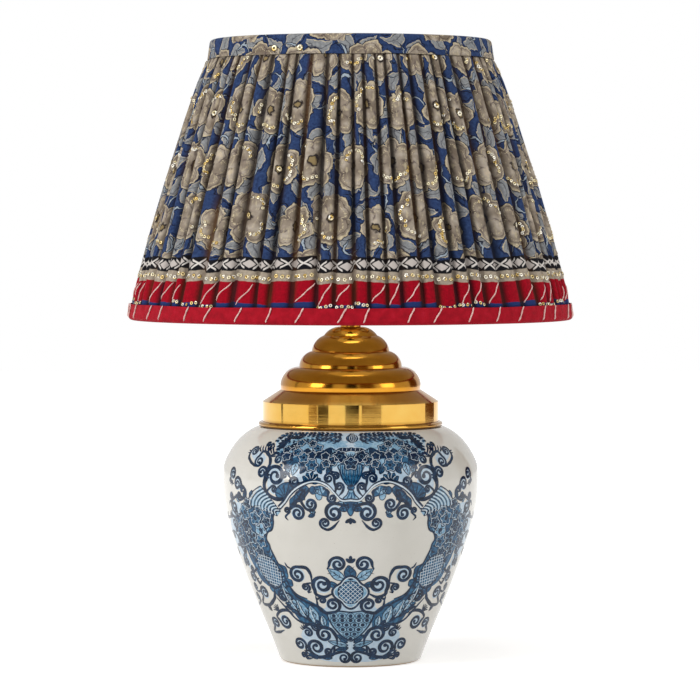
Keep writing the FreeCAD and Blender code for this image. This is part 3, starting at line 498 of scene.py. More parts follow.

# %% [markdown]
# Each cloth of the shade is a sheet: rows of points round the axis, joined by faces, with a thin body from
# a Solidify modifier. It could be a plane bent by modifiers, but then the folds would not fall where they
# were planned. The sheet carries two maps: the flat cloth in metres, on which the print is drawn, and how
# far out of the gathers a place is, from which the valleys get their painted shade.

# %% A sheet of cloth from rows of points
def new_piece(name, points, faces, finish):
    """An object from points and faces, smooth, with one finish."""
    mesh = bpy.data.meshes.new(name)
    mesh.from_pydata([tuple(p) for p in points], [], [tuple(f) for f in faces])
    mesh.polygons.foreach_set("use_smooth", [True] * len(mesh.polygons))
    mesh.materials.append(bpy.data.materials[finish])
    piece = bpy.data.objects.new(name, mesh)
    bpy.context.scene.collection.objects.link(piece)
    return piece


def ring_sheet(name, rows, flat, gather, finish, thickness):
    """Closes rows of points round the axis into a sheet with a body, a flat map and a map of the gathers."""
    rows = np.asarray(rows)
    count, columns = rows.shape[:2]
    first = np.arange(columns)
    after = (first + 1) % columns
    faces, places, depths = [], [], []
    for row in range(count - 1):
        low, high = row * columns, (row + 1) * columns
        faces.append(np.stack([low + first, low + after, high + after, high + first], -1))
        corners = [flat[row, :-1], flat[row, 1:], flat[row + 1, 1:], flat[row + 1, :-1]]
        places.append(np.stack(corners, 1))
        corners = [gather[first], gather[after], gather[after], gather[first]]
        depths.append(np.stack([np.stack(corners, 1), np.full((columns, 4), row / count)], -1))
    piece = new_piece(name, rows.reshape(-1, 3), np.concatenate(faces), finish)
    layer = piece.data.uv_layers.new(name="cloth")
    layer.data.foreach_set("uv", np.concatenate(places).reshape(-1))
    layer = piece.data.uv_layers.new(name="gather")
    layer.data.foreach_set("uv", np.concatenate(depths).reshape(-1))
    body = piece.modifiers.new("body", "SOLIDIFY")
    body.thickness = thickness
    body.offset = -1
    bpy.ops.object.select_all(action="DESELECT")
    bpy.context.view_layer.objects.active = piece
    piece.select_set(True)
    bpy.ops.object.modifier_apply(modifier="body")
    return piece


def settled(piece, body, slot, *nodes):
    """Rides a piece on a body, and hides the CAD nodes that it stands for. Its slot is not used."""
    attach(piece, body)
    if nodes:
        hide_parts(*nodes)
    print(piece.name, "has", len(piece.data.polygons), "faces")
    return piece


def woven(tree, flat, threads, slack, strength):
    """The bump of a plain weave, from warp and weft threads that cross."""
    warp = put(tree, "TexWave", flat, Scale=threads, bands_direction="X", Distortion=slack)
    weft = put(tree, "TexWave", flat, Scale=threads, bands_direction="Y", Distortion=slack)
    crossed = put(tree, "Math.MULTIPLY", warp, weft)
    return put(tree, "Bump", Height=crossed, Strength=strength, Distance=0.2 * MM)


def flat_map(tree):
    """The cloth's own flat map, in millimetres."""
    return put(tree, "Mapping", put(tree, "UVMap", uv_map="cloth"), Scale=(1000.0, 1000.0, 1000.0))


print("a cloth's flat map runs to", round(CLOTH_WIDTH * 1000), "mm")

# %% [markdown]
# The cloth is a light cotton printed in the old block-print way: a blue ground, blossoms in taupe with
# ragged cream outlines, grey leaves, and a border of crosses and diamonds, sequins and red along the hem.
# It can't be a picture, so the print is drawn with nodes on the cloth's own flat map, in millimetres. A
# noise moves every place a little, which makes every edge as uneven as a hand-cut block does. A lattice of
# cells holds one blossom or leaf each, moved about by a sine of the cell's number.

# %% The printed cloth: its map, and the tools of the print
tree = new_finish("block_printed_cotton")
flat = flat_map(tree)
ragged = put(tree, "TexNoise", flat, Scale=0.11, Detail=3.0)
shift = put(tree, "VectorMath.SUBTRACT", ragged.outputs["Color"], (0.5, 0.5, 0.5))
moved = put(tree, "VectorMath.MULTIPLY_ADD", shift, (10.0, 10.0, 0.0), flat)
split = put(tree, "SeparateXYZ", moved)
across, up = split.outputs["X"], split.outputs["Y"]


def lattice(width, height, start_x, start_y, wander):
    """A place's offsets from the middle of the cell that it lies in, and two numbers of that cell."""
    line = put(tree, "Math.ADD", put(tree, "Math.DIVIDE", up, height), start_y)
    row = put(tree, "Math.FLOOR", line)
    offset = put(tree, "Math.MULTIPLY", put(tree, "Math.MODULO", row, 2.0), 0.5)
    post = put(tree, "Math.ADD", put(tree, "Math.DIVIDE", across, width),
               put(tree, "Math.ADD", offset, start_x))
    column = put(tree, "Math.FLOOR", post)
    found = []
    for place, number, side, by_column, by_row in (
            (post, column, width, *SEED_STEPS), (line, row, height, *OTHER_STEPS)):
        seed = put(tree, "Math.MULTIPLY_ADD", column, by_column, put(tree, "Math.MULTIPLY", row, by_row))
        middle = put(tree, "Math.MULTIPLY_ADD", put(tree, "Math.SINE", seed), wander, 0.5)
        away = put(tree, "Math.SUBTRACT", put(tree, "Math.SUBTRACT", place, number), middle)
        found.append((put(tree, "Math.MULTIPLY", away, side), seed))
    (right, seed), (above, other) = found
    return right, above, seed, other


def polar(right, above, turn):
    """How far a place is from its cell's middle, and its angle round it, past a turn."""
    squares = [put(tree, "Math.MULTIPLY", way, way) for way in (right, above)]
    out = put(tree, "Math.SQRT", put(tree, "Math.ADD", *squares))
    return out, put(tree, "Math.ADD", put(tree, "Math.ARCTAN2", above, right), turn)


def under(value, limit, soft=0.35):
    """One where a value is under a limit, with a soft edge."""
    return put(tree, "MapRange", put(tree, "Math.SUBTRACT", value, limit), -soft, soft, 1.0, 0.0).outputs[0]


def band(value, middle, half, soft=0.3):
    """One where a value is near a middle value."""
    away = put(tree, "Math.ABSOLUTE", put(tree, "Math.SUBTRACT", value, middle))
    return under(away, half, soft)


def paint(colour, mask, new_colour):
    """Lays a colour over what is there, through a mask."""
    return put(tree, "MixRGB", mask, colour, new_colour).outputs[0]


SEED_STEPS, OTHER_STEPS = (2.4, 1.7), (3.1, 2.2)
INK = "#14192b"
mottle = put(tree, "TexNoise", flat, Scale=0.35, Detail=4.0)
blues = put(tree, "ValToRGB", mottle, stops=((0.3, "#223154"), (0.55, "#2d4068"), (0.8, "#3b517c")))
cloth = blues.outputs[0]
grey = put(tree, "ValToRGB", mottle, stops=((0.3, "#77797c"), (0.7, "#999b9c")))
cream = put(tree, "ValToRGB", mottle, stops=((0.3, "#b8a787"), (0.7, "#d8cbab")))
print("the print's ground takes", len(tree.nodes), "nodes")

# %% [markdown]
# Leaves fill the ground between the blossoms. A leaf is a place's distance from a bent line, less a half
# width that shrinks with the square of the way along it. One number then gives all its parts: under 0 is
# the grey leaf, near 0 its cream edge, and a little over 0 the dark line that the block leaves round it.

# %% Leaves on the ground
LEAF_CELL = (25.0, 28.0)
LEAF_HALF = 7.0
right, above, _, other = lattice(*LEAF_CELL, 0.3, 0.2, 0.16)
angle = put(tree, "Math.MULTIPLY", other, 1.3)
cosine, sine = put(tree, "Math.COSINE", angle), put(tree, "Math.SINE", angle)
long_way = put(tree, "Math.ADD", put(tree, "Math.MULTIPLY", right, cosine),
               put(tree, "Math.MULTIPLY", above, sine))
wide_way = put(tree, "Math.SUBTRACT", put(tree, "Math.MULTIPLY", above, cosine),
               put(tree, "Math.MULTIPLY", right, sine))
square = put(tree, "Math.MULTIPLY", long_way, long_way)
bend = put(tree, "Math.MULTIPLY", square, 0.045)
wide_way = put(tree, "Math.ABSOLUTE", put(tree, "Math.SUBTRACT", wide_way, bend))
taper = put(tree, "Math.MULTIPLY", square, -0.036)
leaf_edge = put(tree, "Math.SUBTRACT", wide_way, put(tree, "Math.ADD", taper, LEAF_HALF))
cloth = paint(cloth, band(leaf_edge, 2.4, 0.5), INK)
cloth = paint(cloth, under(leaf_edge, 0.0), grey)
vein = put(tree, "Math.MULTIPLY", under(leaf_edge, -2.0), under(wide_way, 0.5))
cloth = paint(cloth, vein, "#55565c")
cloth = paint(cloth, band(leaf_edge, -0.2, 0.35), cream)

# Tendrils: open rings, thick on one side and gone on the other.
right, above, _, other = lattice(29.0, 34.0, 0.15, 0.55, 0.2)
out, angle = polar(right, above, put(tree, "Math.MULTIPLY", other, 1.9))
open_side = put(tree, "Math.SUBTRACT", 0.3, put(tree, "Math.SINE", angle))
thickness = put(tree, "Math.MULTIPLY_ADD", open_side, -0.9, 0.25)
off_ring = put(tree, "Math.ABSOLUTE", put(tree, "Math.SUBTRACT", out, 8.5))
tendril = put(tree, "Math.SUBTRACT", off_ring, thickness)
cloth = paint(cloth, under(tendril, 0.9, 0.3), INK)
cloth = paint(cloth, under(tendril, 0.0, 0.3), "#a2aeb9")
print("with leaves and tendrils it takes", len(tree.nodes), "nodes")

# %% [markdown]
# A blossom has six petals. Its edge is a distance that swells with the sine of three times the angle, and
# every line in it is a share of that edge, so lines and dots follow the petals. The sequins are sewn later
# on the dotted ring, so the numbers that place it have names.

# %% Blossoms
CELL_WIDTH = 56.0
CELL_HEIGHT = 58.0
CELL_WANDER = 0.10
BLOSSOM_REACH, BLOSSOM_VARIES = 19.5, 2.5
PETAL_REACH, PETAL_POWER = 6.5, 0.6
DOTTED_RING = 0.72
right, above, seed, other = lattice(CELL_WIDTH, CELL_HEIGHT, 0.0, 0.0, CELL_WANDER)
out, angle = polar(right, above, seed)
petal = put(tree, "Math.ABSOLUTE", put(tree, "Math.SINE", put(tree, "Math.MULTIPLY", angle, 3.0)))
petal = put(tree, "Math.POWER", petal, PETAL_POWER)
size = put(tree, "Math.MULTIPLY_ADD", put(tree, "Math.SINE", other), BLOSSOM_VARIES, BLOSSOM_REACH)
edge = put(tree, "Math.MULTIPLY_ADD", petal, PETAL_REACH, size)
inside = put(tree, "Math.SUBTRACT", out, edge)
share = put(tree, "Math.DIVIDE", out, edge)
blossom = under(inside, 0.0)
patches = put(tree, "TexNoise", flat, Scale=0.06, Detail=3.0)
taupe = put(tree, "ValToRGB", patches, stops=((0.32, "#75685a"), (0.5, "#948778"), (0.64, "#b3a798"),
                                              (0.72, "#c8b79f")))
cloth = paint(cloth, under(inside, 1.0), "#161c30")
cloth = paint(cloth, blossom, taupe)
on_petals = put(tree, "Math.MULTIPLY", blossom, band(share, 0.7, 0.22, 0.1))
creases = put(tree, "Math.MULTIPLY", under(petal, 0.42, 0.2), on_petals)
cloth = paint(cloth, put(tree, "Math.MULTIPLY", creases, 0.8), "#5a4d4c")
flecks = put(tree, "TexNoise", put(tree, "Mapping", flat, Scale=(1.0, 0.6, 1.0)), Scale=0.24, Detail=3.0)
flecks = under(put(tree, "Math.SUBTRACT", 1.0, flecks), 0.40, 0.05)
flecks = put(tree, "Math.MULTIPLY", flecks, band(share, 0.45, 0.25, 0.1))
flecks = put(tree, "Math.MULTIPLY", put(tree, "Math.MULTIPLY", flecks, blossom), 0.6)
cloth = paint(cloth, flecks, cream)
cloth = paint(cloth, band(share, 0.965, 0.022, 0.02), cream)
cloth = paint(cloth, band(share, 0.86, 0.010, 0.01), "#4a3f38")
dots = under(put(tree, "Math.SINE", put(tree, "Math.MULTIPLY", angle, 44.0)), 0.35, 0.3)
cloth = paint(cloth, put(tree, "Math.MULTIPLY", band(share, DOTTED_RING, 0.022, 0.02), dots), cream)
cloth = paint(cloth, under(share, 0.21, 0.03), "#2b2526")
cloth = paint(cloth, under(share, 0.12, 0.03), "#8d7a55")
print("with blossoms it takes", len(tree.nodes), "nodes")

# %% [markdown]
# The border runs along the hem in rows: a blue line, the red, a pale row that carries sequins, and a dark
# row with white crosses between pale diamonds. Crosses and diamonds both come from one zigzag along the
# cloth and one up it: a cross is where they are equal, a diamond where their sum is small.

# %% The border
BORDER_BLUE, BORDER_RED, BORDER_GREY, BORDER_CROSS = 5.0, 26.5, 37.5, 51.0
CROSS_PITCH = 21.0
plain = put(tree, "SeparateXYZ", flat)
uneven = put(tree, "Math.MULTIPLY", put(tree, "Math.SUBTRACT", ragged, 0.5), 2.4)
level = put(tree, "Math.ADD", plain.outputs["Y"], uneven)
turn = put(tree, "Math.PINGPONG", plain.outputs["X"], CROSS_PITCH / 2)
turn = put(tree, "Math.DIVIDE", turn, CROSS_PITCH / 2)
rise = put(tree, "Math.SUBTRACT", level, BORDER_GREY)
rise = put(tree, "Math.DIVIDE", rise, (BORDER_CROSS - BORDER_GREY) / 2)
rise = put(tree, "Math.ABSOLUTE", put(tree, "Math.SUBTRACT", rise, 1.0))
cross = put(tree, "Math.ABSOLUTE", put(tree, "Math.SUBTRACT", turn, rise))
cross = put(tree, "Math.MULTIPLY", under(cross, 0.15, 0.05), under(turn, 0.64, 0.05))
diamond = put(tree, "Math.ADD", put(tree, "Math.SUBTRACT", 1.0, turn), rise)
crosses = paint(paint("#0e0e14", under(diamond, 0.62, 0.05), "#c4bbb5"), cross, "#dcd5ce")
red = put(tree, "ValToRGB", mottle, stops=((0.3, "#8a0016"), (0.7, "#a8011d")))
pale = put(tree, "ValToRGB", mottle, stops=((0.3, "#978b7c"), (0.7, "#b5a795")))
for top, row in ((BORDER_CROSS, crosses), (BORDER_GREY, pale), (BORDER_RED, red), (BORDER_BLUE, "#22356a")):
    cloth = paint(cloth, under(level, top), row)
print("the border is", BORDER_CROSS, "mm high")

# %% [markdown]
# Deep gathers are painted darker than a soft studio light alone makes them: painted shade, because the
# cloth is doubled there and lets no light through. The map of the gathers drives that painted shade, brown
# in some places and nearly black in others, and half as strong in the pale rows of the border. The weave and
# the slubs are bumps.

# %% Painted shade in the gathers, and the weave
gather = put(tree, "SeparateXYZ", put(tree, "UVMap", uv_map="gather")).outputs["X"]
gather_painted_shade = put(tree, "MapRange", gather, 0.1, 0.88, 0.97, 0.0).outputs[0]
pale_rows = put(tree, "Math.SUBTRACT", under(level, BORDER_CROSS), under(level, BORDER_RED))
gather_painted_shade = put(tree, "Math.MULTIPLY", gather_painted_shade, put(tree, "Math.MULTIPLY_ADD", pale_rows, -0.5, 1.0))
warm = put(tree, "TexNoise", put(tree, "Mapping", flat, Scale=(0.03, 0.008, 1.0)), Scale=1.0, Detail=2.0)
shadow = put(tree, "ValToRGB", warm, stops=((0.4, "#0b0b14"), (0.56, "#2a190b"), (0.68, "#4a2e12")))
# Painted shade: the valleys of the gathers are darkened toward brown and black.
cloth = paint(cloth, gather_painted_shade, put(tree, "MixRGB", 0.9, cloth, shadow))
weave = woven(tree, flat, 0.55, 1.5, 0.35)
slub = put(tree, "TexNoise", put(tree, "Mapping", flat, Scale=(0.35, 0.04, 1.0)), Scale=1.0, Detail=3.0)
weave = put(tree, "Bump", Height=slub, Strength=0.5, Distance=1.2 * MM, Normal=weave)
put(tree, "OutputMaterial", put(tree, "BsdfPrincipled", cloth, Roughness=0.85, Sheen_Weight=0.01,
                                Normal=weave, Specular_IOR_Level=0.12))
print("the whole print takes", len(tree.nodes), "nodes")

# %% [markdown]
# Now the sheet itself. Rows of points go up the cloth, closer together near the rings, where the gathers
# shrink fast. Each row follows all the folds, and its flat map is the cloth's own width, slipped a little
# from fold to fold, because printed borders never quite meet once they are gathered.

# %% The gathered cloth
near_hem, near_top = [0.0, 0.012, 0.03, 0.05, 0.075], [0.905, 0.93, 0.955, 0.975, 0.99, 1.0]
rises = np.concatenate((near_hem, np.linspace(0.11, 0.88, 26), near_top))
steps = CREST_STEPS[:-1]
rows, flat_rows = [], []
for level in cloth_low + (cloth_high - cloth_low) * rises:
    points, places = [], []
    for fold in range(FOLDS):
        points.append(on_cloth(fold, steps, level))
        cut = flat_starts[fold] + flat_widths[fold] * run_shares[:-1]
        places.append(np.stack([cut, (level - cloth_low) * STRETCH + slip(fold, steps)], -1))
    last = [CLOTH_WIDTH, (level - cloth_low) * STRETCH + slip(0, 0.0)]
    rows.append(np.concatenate(points))
    flat_rows.append(np.concatenate(places + [[last]]))
gather = np.tile(CREST[:-1, 1], FOLDS)
shade_cloth = ring_sheet("shade_cloth", rows, np.array(flat_rows), gather, "block_printed_cotton", 0.45 * MM)
settled(shade_cloth, "shade", "printed_cloth", "shade_cover")

# %% [markdown]
# Two narrow strips bind the edges. Each is folded over its wire ring, with one leaf outside over the
# gathers and one inside over the lining, so its section is a long hairpin, turned round the axis. A turned
# shape alone would look machined, so the outer leaf swells over each crest that it covers. The top strip is
# cut from the printed cloth, and the bottom one is plain red.

# %% A strip folded over a ring
BEND = 4.2 * MM
TUCK = 12 * MM
SKIN = 0.7 * MM
LINING_SEAT = 2.43 * MM
LINING_BODY = 0.6 * MM
SWELL = 0.5 * MM
CREST_PLACES = 5
CUT_FROM = 130 * MM
TOP_LIP, TOP_BULGE = top_radius + 9.6 * MM, top_radius + 7.4 * MM
BOTTOM_LIP, BOTTOM_BULGE = bottom_radius + 3.0 * MM, bottom_radius + 4.9 * MM


def hairpin(edge, up, outside_end, outside, bend_radius):
    """Rows of points of a strip folded over a ring, the strip's flat map, and its width, from outside in."""
    level = edge + up * BEND
    tip = edge + up * TUCK
    inner = frame_radius(level) - LINING_SEAT - LINING_BODY * STRETCH - SKIN
    inner_tip = inner - SLOPE * (tip - level) - 0.02 * MM
    line = [(outside, outside_end - up * 0.4 * MM * k) for k in (0, 1.2)]
    line += [(outside + (bend_radius - outside) * s, outside_end + (level - outside_end) * s)
             for s in (0.2, 0.4, 0.6, 0.8)]
    line += [(bend_radius - BEND + BEND * math.cos(a), level - up * BEND * math.sin(a))
             for a in np.radians([0, 15, 30, 45, 60, 75, 90])]
    middle = inner + BEND
    line += [(middle - BEND * math.sin(a), level - up * BEND * math.cos(a))
             for a in np.radians([0, 22, 45, 68, 90])]
    line += [(inner + (inner_tip - inner) * s, level + (tip - level) * s) for s in (0.5, 1.0)]
    line = np.array(line)
    cut = run_along(line)
    shares = np.arange(CREST_PLACES) / CREST_PLACES
    turns = (fold_starts[:, None] + fold_widths[:, None] * shares).ravel()
    crests = np.tile(np.interp(shares, CREST[:, 0], CREST[:, 1]), FOLDS)
    pull = np.repeat(np.sin(numbers * 2.3), CREST_PLACES)
    rows, flat_rows = [], []
    for index, (radius, height) in enumerate(line):
        share = max(0.0, 1 - cut[index] / abs(outside_end - edge))
        lump = SWELL * (crests - 0.6 + 0.35 * pull) * share ** 0.6
        drift = 0.25 * MM * np.sin(turns * 9.0) * (index < 2)
        rows.append(round_axis(radius + lump, turns, height + drift))
        over = np.append(turns, 2 * math.pi) * outside
        flat_rows.append(np.stack([over, 0 * over + CUT_FROM + up * cut[index]], -1))
    order = slice(None, None, up)
    return rows[::-1][order], np.array(flat_rows)[::-1][order], cut[-1]


top_end, top_edge = (corner.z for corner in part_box("top_binding"))
rows, flat_rows, TOP_CUT = hairpin(top_edge, -1, top_end, TOP_LIP, TOP_BULGE)
smooth = np.ones(CREST_PLACES * FOLDS)
top_strip = ring_sheet("top_strip", rows, flat_rows, smooth, "block_printed_cotton", SKIN)
settled(top_strip, "shade", "printed_cloth", "top_binding")

# %% [markdown]
# The strip at the hem is a plain red cotton, dyed in the piece, so its colour is even and only a little
# cloudy. It was folded by hand and pulled tight, which leaves shallow creases along it.

# %% The red strip
tree = new_finish("red_cotton_strip")
flat = flat_map(tree)
mottle = put(tree, "TexNoise", flat, Scale=0.12, Detail=5.0)
colour = put(tree, "ValToRGB", mottle, stops=((0.3, "#96051b"), (0.55, "#aa0820"), (0.75, "#b3142b")))
weave = woven(tree, flat, 0.55, 1.5, 0.4)
creases = put(tree, "TexNoise", put(tree, "Mapping", flat, Scale=(0.12, 0.03, 1.0)), Scale=1.0, Detail=3.0)
weave = put(tree, "Bump", Height=creases, Strength=0.6, Distance=2 * MM, Normal=weave)
put(tree, "OutputMaterial", put(tree, "BsdfPrincipled", colour, Roughness=0.8, Sheen_Weight=0.02,
                                Normal=weave, Specular_IOR_Level=0.15))
bottom_edge, bottom_end = (corner.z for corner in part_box("bottom_binding"))
rows, flat_rows, BOTTOM_CUT = hairpin(bottom_edge, 1, bottom_end, BOTTOM_LIP, BOTTOM_BULGE)
bottom_strip = ring_sheet("bottom_strip", rows, flat_rows, smooth, "red_cotton_strip", SKIN)
settled(bottom_strip, "shade", "red_cloth", "bottom_binding")

# %% [markdown]
# The lining is a smooth white cloth, stretched straight between the rings inside the struts. Stretched
# cloth still shows where it is pulled: shallow ripples run down from every gather at the top and fade on
# the way.

# %% The lining
tree = new_finish("white_lining_cotton")
flat = flat_map(tree)
mottle = put(tree, "TexNoise", flat, Scale=0.02, Detail=4.0)
colour = put(tree, "ValToRGB", mottle, stops=((0.3, "#e6dfd0"), (0.7, "#f0ebe0")))
weave = woven(tree, flat, 0.5, 1.0, 0.3)
put(tree, "OutputMaterial", put(tree, "BsdfPrincipled", colour, Roughness=0.85, Sheen_Weight=0.1,
                                Normal=weave))
lining_low, lining_high = (corner.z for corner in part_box("shade_lining"))
turns = np.linspace(0, 2 * math.pi, 4 * FOLDS, endpoint=False)
ripples = 0.5 * np.sin(turns * FOLDS) + 0.3 * np.sin(turns * 43 + 1.0) + 0.2 * np.sin(turns * 17)
rows, flat_rows = [], []
for level in np.linspace(lining_low, lining_high, 16):
    rise = (level - lining_low) / (lining_high - lining_low)
    radius = frame_radius(level) - 2.5 * MM - 0.5 * MM * (1 + ripples) * rise * rise
    rows.append(round_axis(radius, turns, level))
    over = np.append(turns, 2 * math.pi) * frame_radius(middle_level)
    flat_rows.append(np.stack([over, 0 * over + (level - lining_low) * STRETCH], -1))
flat_rows = np.array(flat_rows)
lining = ring_sheet("lining_cloth", rows, flat_rows, np.ones(len(turns)), "white_lining_cotton", 0.4 * MM)
settled(lining, "shade", "lining_cloth", "shade_lining")

# %% [markdown]
# Hand stitches slant across the hem in a thick pale thread, and shorter ones climb the red border fold by
# fold. A thread is a round tube of two twisted strands. A curve with a bevel would do for one stitch, but
# ninety are needed and each has to follow the cloth, so the tubes are built along points on the cloth
# itself.

# %% The thread
THREAD = 0.72 * MM
THREAD_SIDES = 6
tree = new_finish("twisted_cotton_thread")
place = put(tree, "TexCoord").outputs["Object"]
fuzz = put(tree, "TexNoise", place, Scale=700.0, Detail=3.0)
colour = put(tree, "ValToRGB", fuzz, stops=((0.3, "#d79c98"), (0.6, "#eccbc2")))
strands = put(tree, "Bump", Height=fuzz, Strength=0.6, Distance=0.3 * MM)
put(tree, "OutputMaterial", put(tree, "BsdfPrincipled", colour, Roughness=0.8, Sheen_Weight=0.3,
                                Normal=strands))


def thread_tube(points, radius, sides=THREAD_SIDES):
    """Points and faces of a tube along a line, with a slight twist of thick and thin, closed at both ends."""
    line = np.asarray(points)
    ahead = np.gradient(line, axis=0)
    ahead /= np.linalg.norm(ahead, axis=1)[:, None]
    out = line * (1, 1, 0)
    out /= np.linalg.norm(out, axis=1)[:, None]
    beside = np.cross(ahead, out)
    beside /= np.linalg.norm(beside, axis=1)[:, None]
    out = np.cross(beside, ahead)
    count = len(line)
    made = []
    for index in range(count):
        taper = 0.35 if index in (0, count - 1) else 1.0
        for side in range(sides):
            angle = 2 * math.pi * side / sides
            size = radius * taper * (1 + 0.22 * math.cos(2 * angle - 1.3 * index))
            made.append(line[index] + size * (math.cos(angle) * beside[index] + math.sin(angle) * out[index]))
    faces = []
    for index in range(count - 1):
        for side in range(sides):
            after = (side + 1) % sides
            low, high = index * sides, (index + 1) * sides
            faces.append((low + side, high + side, high + after, low + after))
    faces.append(tuple(range(sides)))
    faces.append(tuple(reversed(range((count - 1) * sides, count * sides))))
    return made, faces


def joined(parts):
    """Several lots of points and faces as one."""
    points, faces = [], []
    for made, own in parts:
        faces += [tuple(v + len(points) for v in face) for face in own]
        points += list(made)
    return points, faces


print("a thread is", round(2 * THREAD * 1000, 2), "mm thick")

# %% [markdown]
# The stitches over the hem stand round it at nearly even steps, each with its own lean. Those on the red
# border climb single folds, and some folds have none. Sines of the stitch's number stand in for a hand's
# unevenness, so the same stitches come back at every run.

# %% The hand stitches
STITCH_COUNT = 42
STITCH_LEVELS = np.array([bottom_edge + 0.6 * BEND, bottom_edge + BEND, bottom_end])
STITCH_RADII = np.array([BOTTOM_BULGE, BOTTOM_BULGE + 0.6 * MM, BOTTOM_LIP + 0.9 * MM])
stitches = []
share = np.linspace(0, 1, 12)
for number in range(STITCH_COUNT):
    start = 2 * math.pi * (number + 0.14 * math.sin(number * 2.7)) / STITCH_COUNT
    lean = math.radians(1.9 + 0.5 * math.sin(number * 1.9))
    level = STITCH_LEVELS[0] + share * (bottom_end + 0.4 * MM - STITCH_LEVELS[0])
    turn = start + lean * share + 0.0012 * np.sin(share * 7 + number)
    line = round_axis(np.interp(level, STITCH_LEVELS, STITCH_RADII), turn, level)
    stitches.append(thread_tube(line, THREAD))
for fold in range(FOLDS):
    if math.sin(fold * 7.7) < -0.55:
        continue
    low = cloth_low + (5.0 + 2.0 * math.sin(fold * 3.1)) * MM
    high = cloth_low + (23.5 + 1.6 * math.sin(fold * 1.3)) * MM
    first, last = 0.22 + 0.07 * math.sin(fold * 2.2), 0.80 + 0.07 * math.sin(fold * 4.9)
    share = np.linspace(0, 1, 14)
    across = first + (last - first) * share + 0.02 * np.sin(9 * share + fold)
    line = on_cloth(fold, across, low + (high - low) * share, 0.2 * MM)
    stitches.append(thread_tube(line, THREAD * 0.85))
hand_stitches = new_piece("hand_stitches", *joined(stitches), "twisted_cotton_thread")
settled(hand_stitches, "shade", "red_cloth")
print(len(stitches), "stitches")

# %% [markdown]
# Sequins are sewn in rows along the border and in arcs on the blossoms. A sequin is a tiny cupped disc with
# a hole, 4 mm across, stamped from metal-coloured film. One is modelled from a torus, flattened in edit
# mode, and every other is a copy of its mesh, laid on the cloth where the print has its dotted lines.

# %% One sequin, and the way it lies on the cloth
tree = new_finish("metallised_film")
place = put(tree, "TexCoord").outputs["Object"]
patches = put(tree, "TexVoronoi", place, Scale=260.0)
colour = put(tree, "ValToRGB", patches.outputs["Color"],
             stops=((0.25, "#cfae62"), (0.5, "#e9dcb4"), (0.8, "#f1ece0")))
polish = put(tree, "MapRange", put(tree, "TexNoise", place, Scale=500.0), 0.3, 0.7, 0.12, 0.3)
put(tree, "OutputMaterial", put(tree, "BsdfPrincipled", colour, 0.55, polish))

bpy.ops.object.select_all(action="DESELECT")
bpy.ops.mesh.primitive_torus_add(major_segments=10, minor_segments=4, major_radius=1.25 * MM,
                                 minor_radius=0.8 * MM)
sequin = bpy.context.object
bpy.ops.object.mode_set(mode="EDIT")
bpy.ops.mesh.select_all(action="SELECT")
bpy.ops.transform.resize(value=(1, 1, 0.3))
bpy.ops.object.mode_set(mode="OBJECT")
sequin_points = np.array([v.co for v in sequin.data.vertices])
sequin_faces = [tuple(f.vertices) for f in sequin.data.polygons]
bpy.data.objects.remove(sequin)


def unit(way):
    """A direction, one metre long."""
    return way / np.linalg.norm(way)


def laid_sequin(fold, share, level, size, tilt):
    """A sequin's points and faces, lying on the cloth."""
    here = on_cloth(fold, share, level)
    right = unit(on_cloth(fold, share + 0.01, level) - on_cloth(fold, share - 0.01, level))
    above = on_cloth(fold, share, level + MM) - on_cloth(fold, share, level - MM)
    out = unit(np.cross(right, above))
    out = unit(out + tilt[0] * right + tilt[1] * np.array([0, 0, 1.0]))
    above = unit(np.cross(out, right))
    right = np.cross(above, out)
    points = here + out * 0.35 * MM + size * (sequin_points @ np.stack([right, above, out]))
    return points, sequin_faces


def place_on_cloth(cut, rise):
    """The fold, the share across it and the height for a place on the flat cloth, in metres."""
    fold = min(int(np.searchsorted(flat_starts, cut, side="right")) - 1, FOLDS - 1)
    share = np.interp((cut - flat_starts[fold]) / flat_widths[fold], run_shares, CREST_STEPS)
    return fold, share, cloth_low + (rise - slip(fold, share)) / STRETCH


print("one sequin has", len(sequin_faces), "faces")

# %% [markdown]
# The sequins go where the print asks for them. Two rows run along the border, and on each blossom an arc of
# 7 to 16 follows the dotted ring, with the same sines that drew it. One that would fall into a gather is
# left out, and so are those past the edges. A seeded random number tilts each one, so that they glint one
# by one.

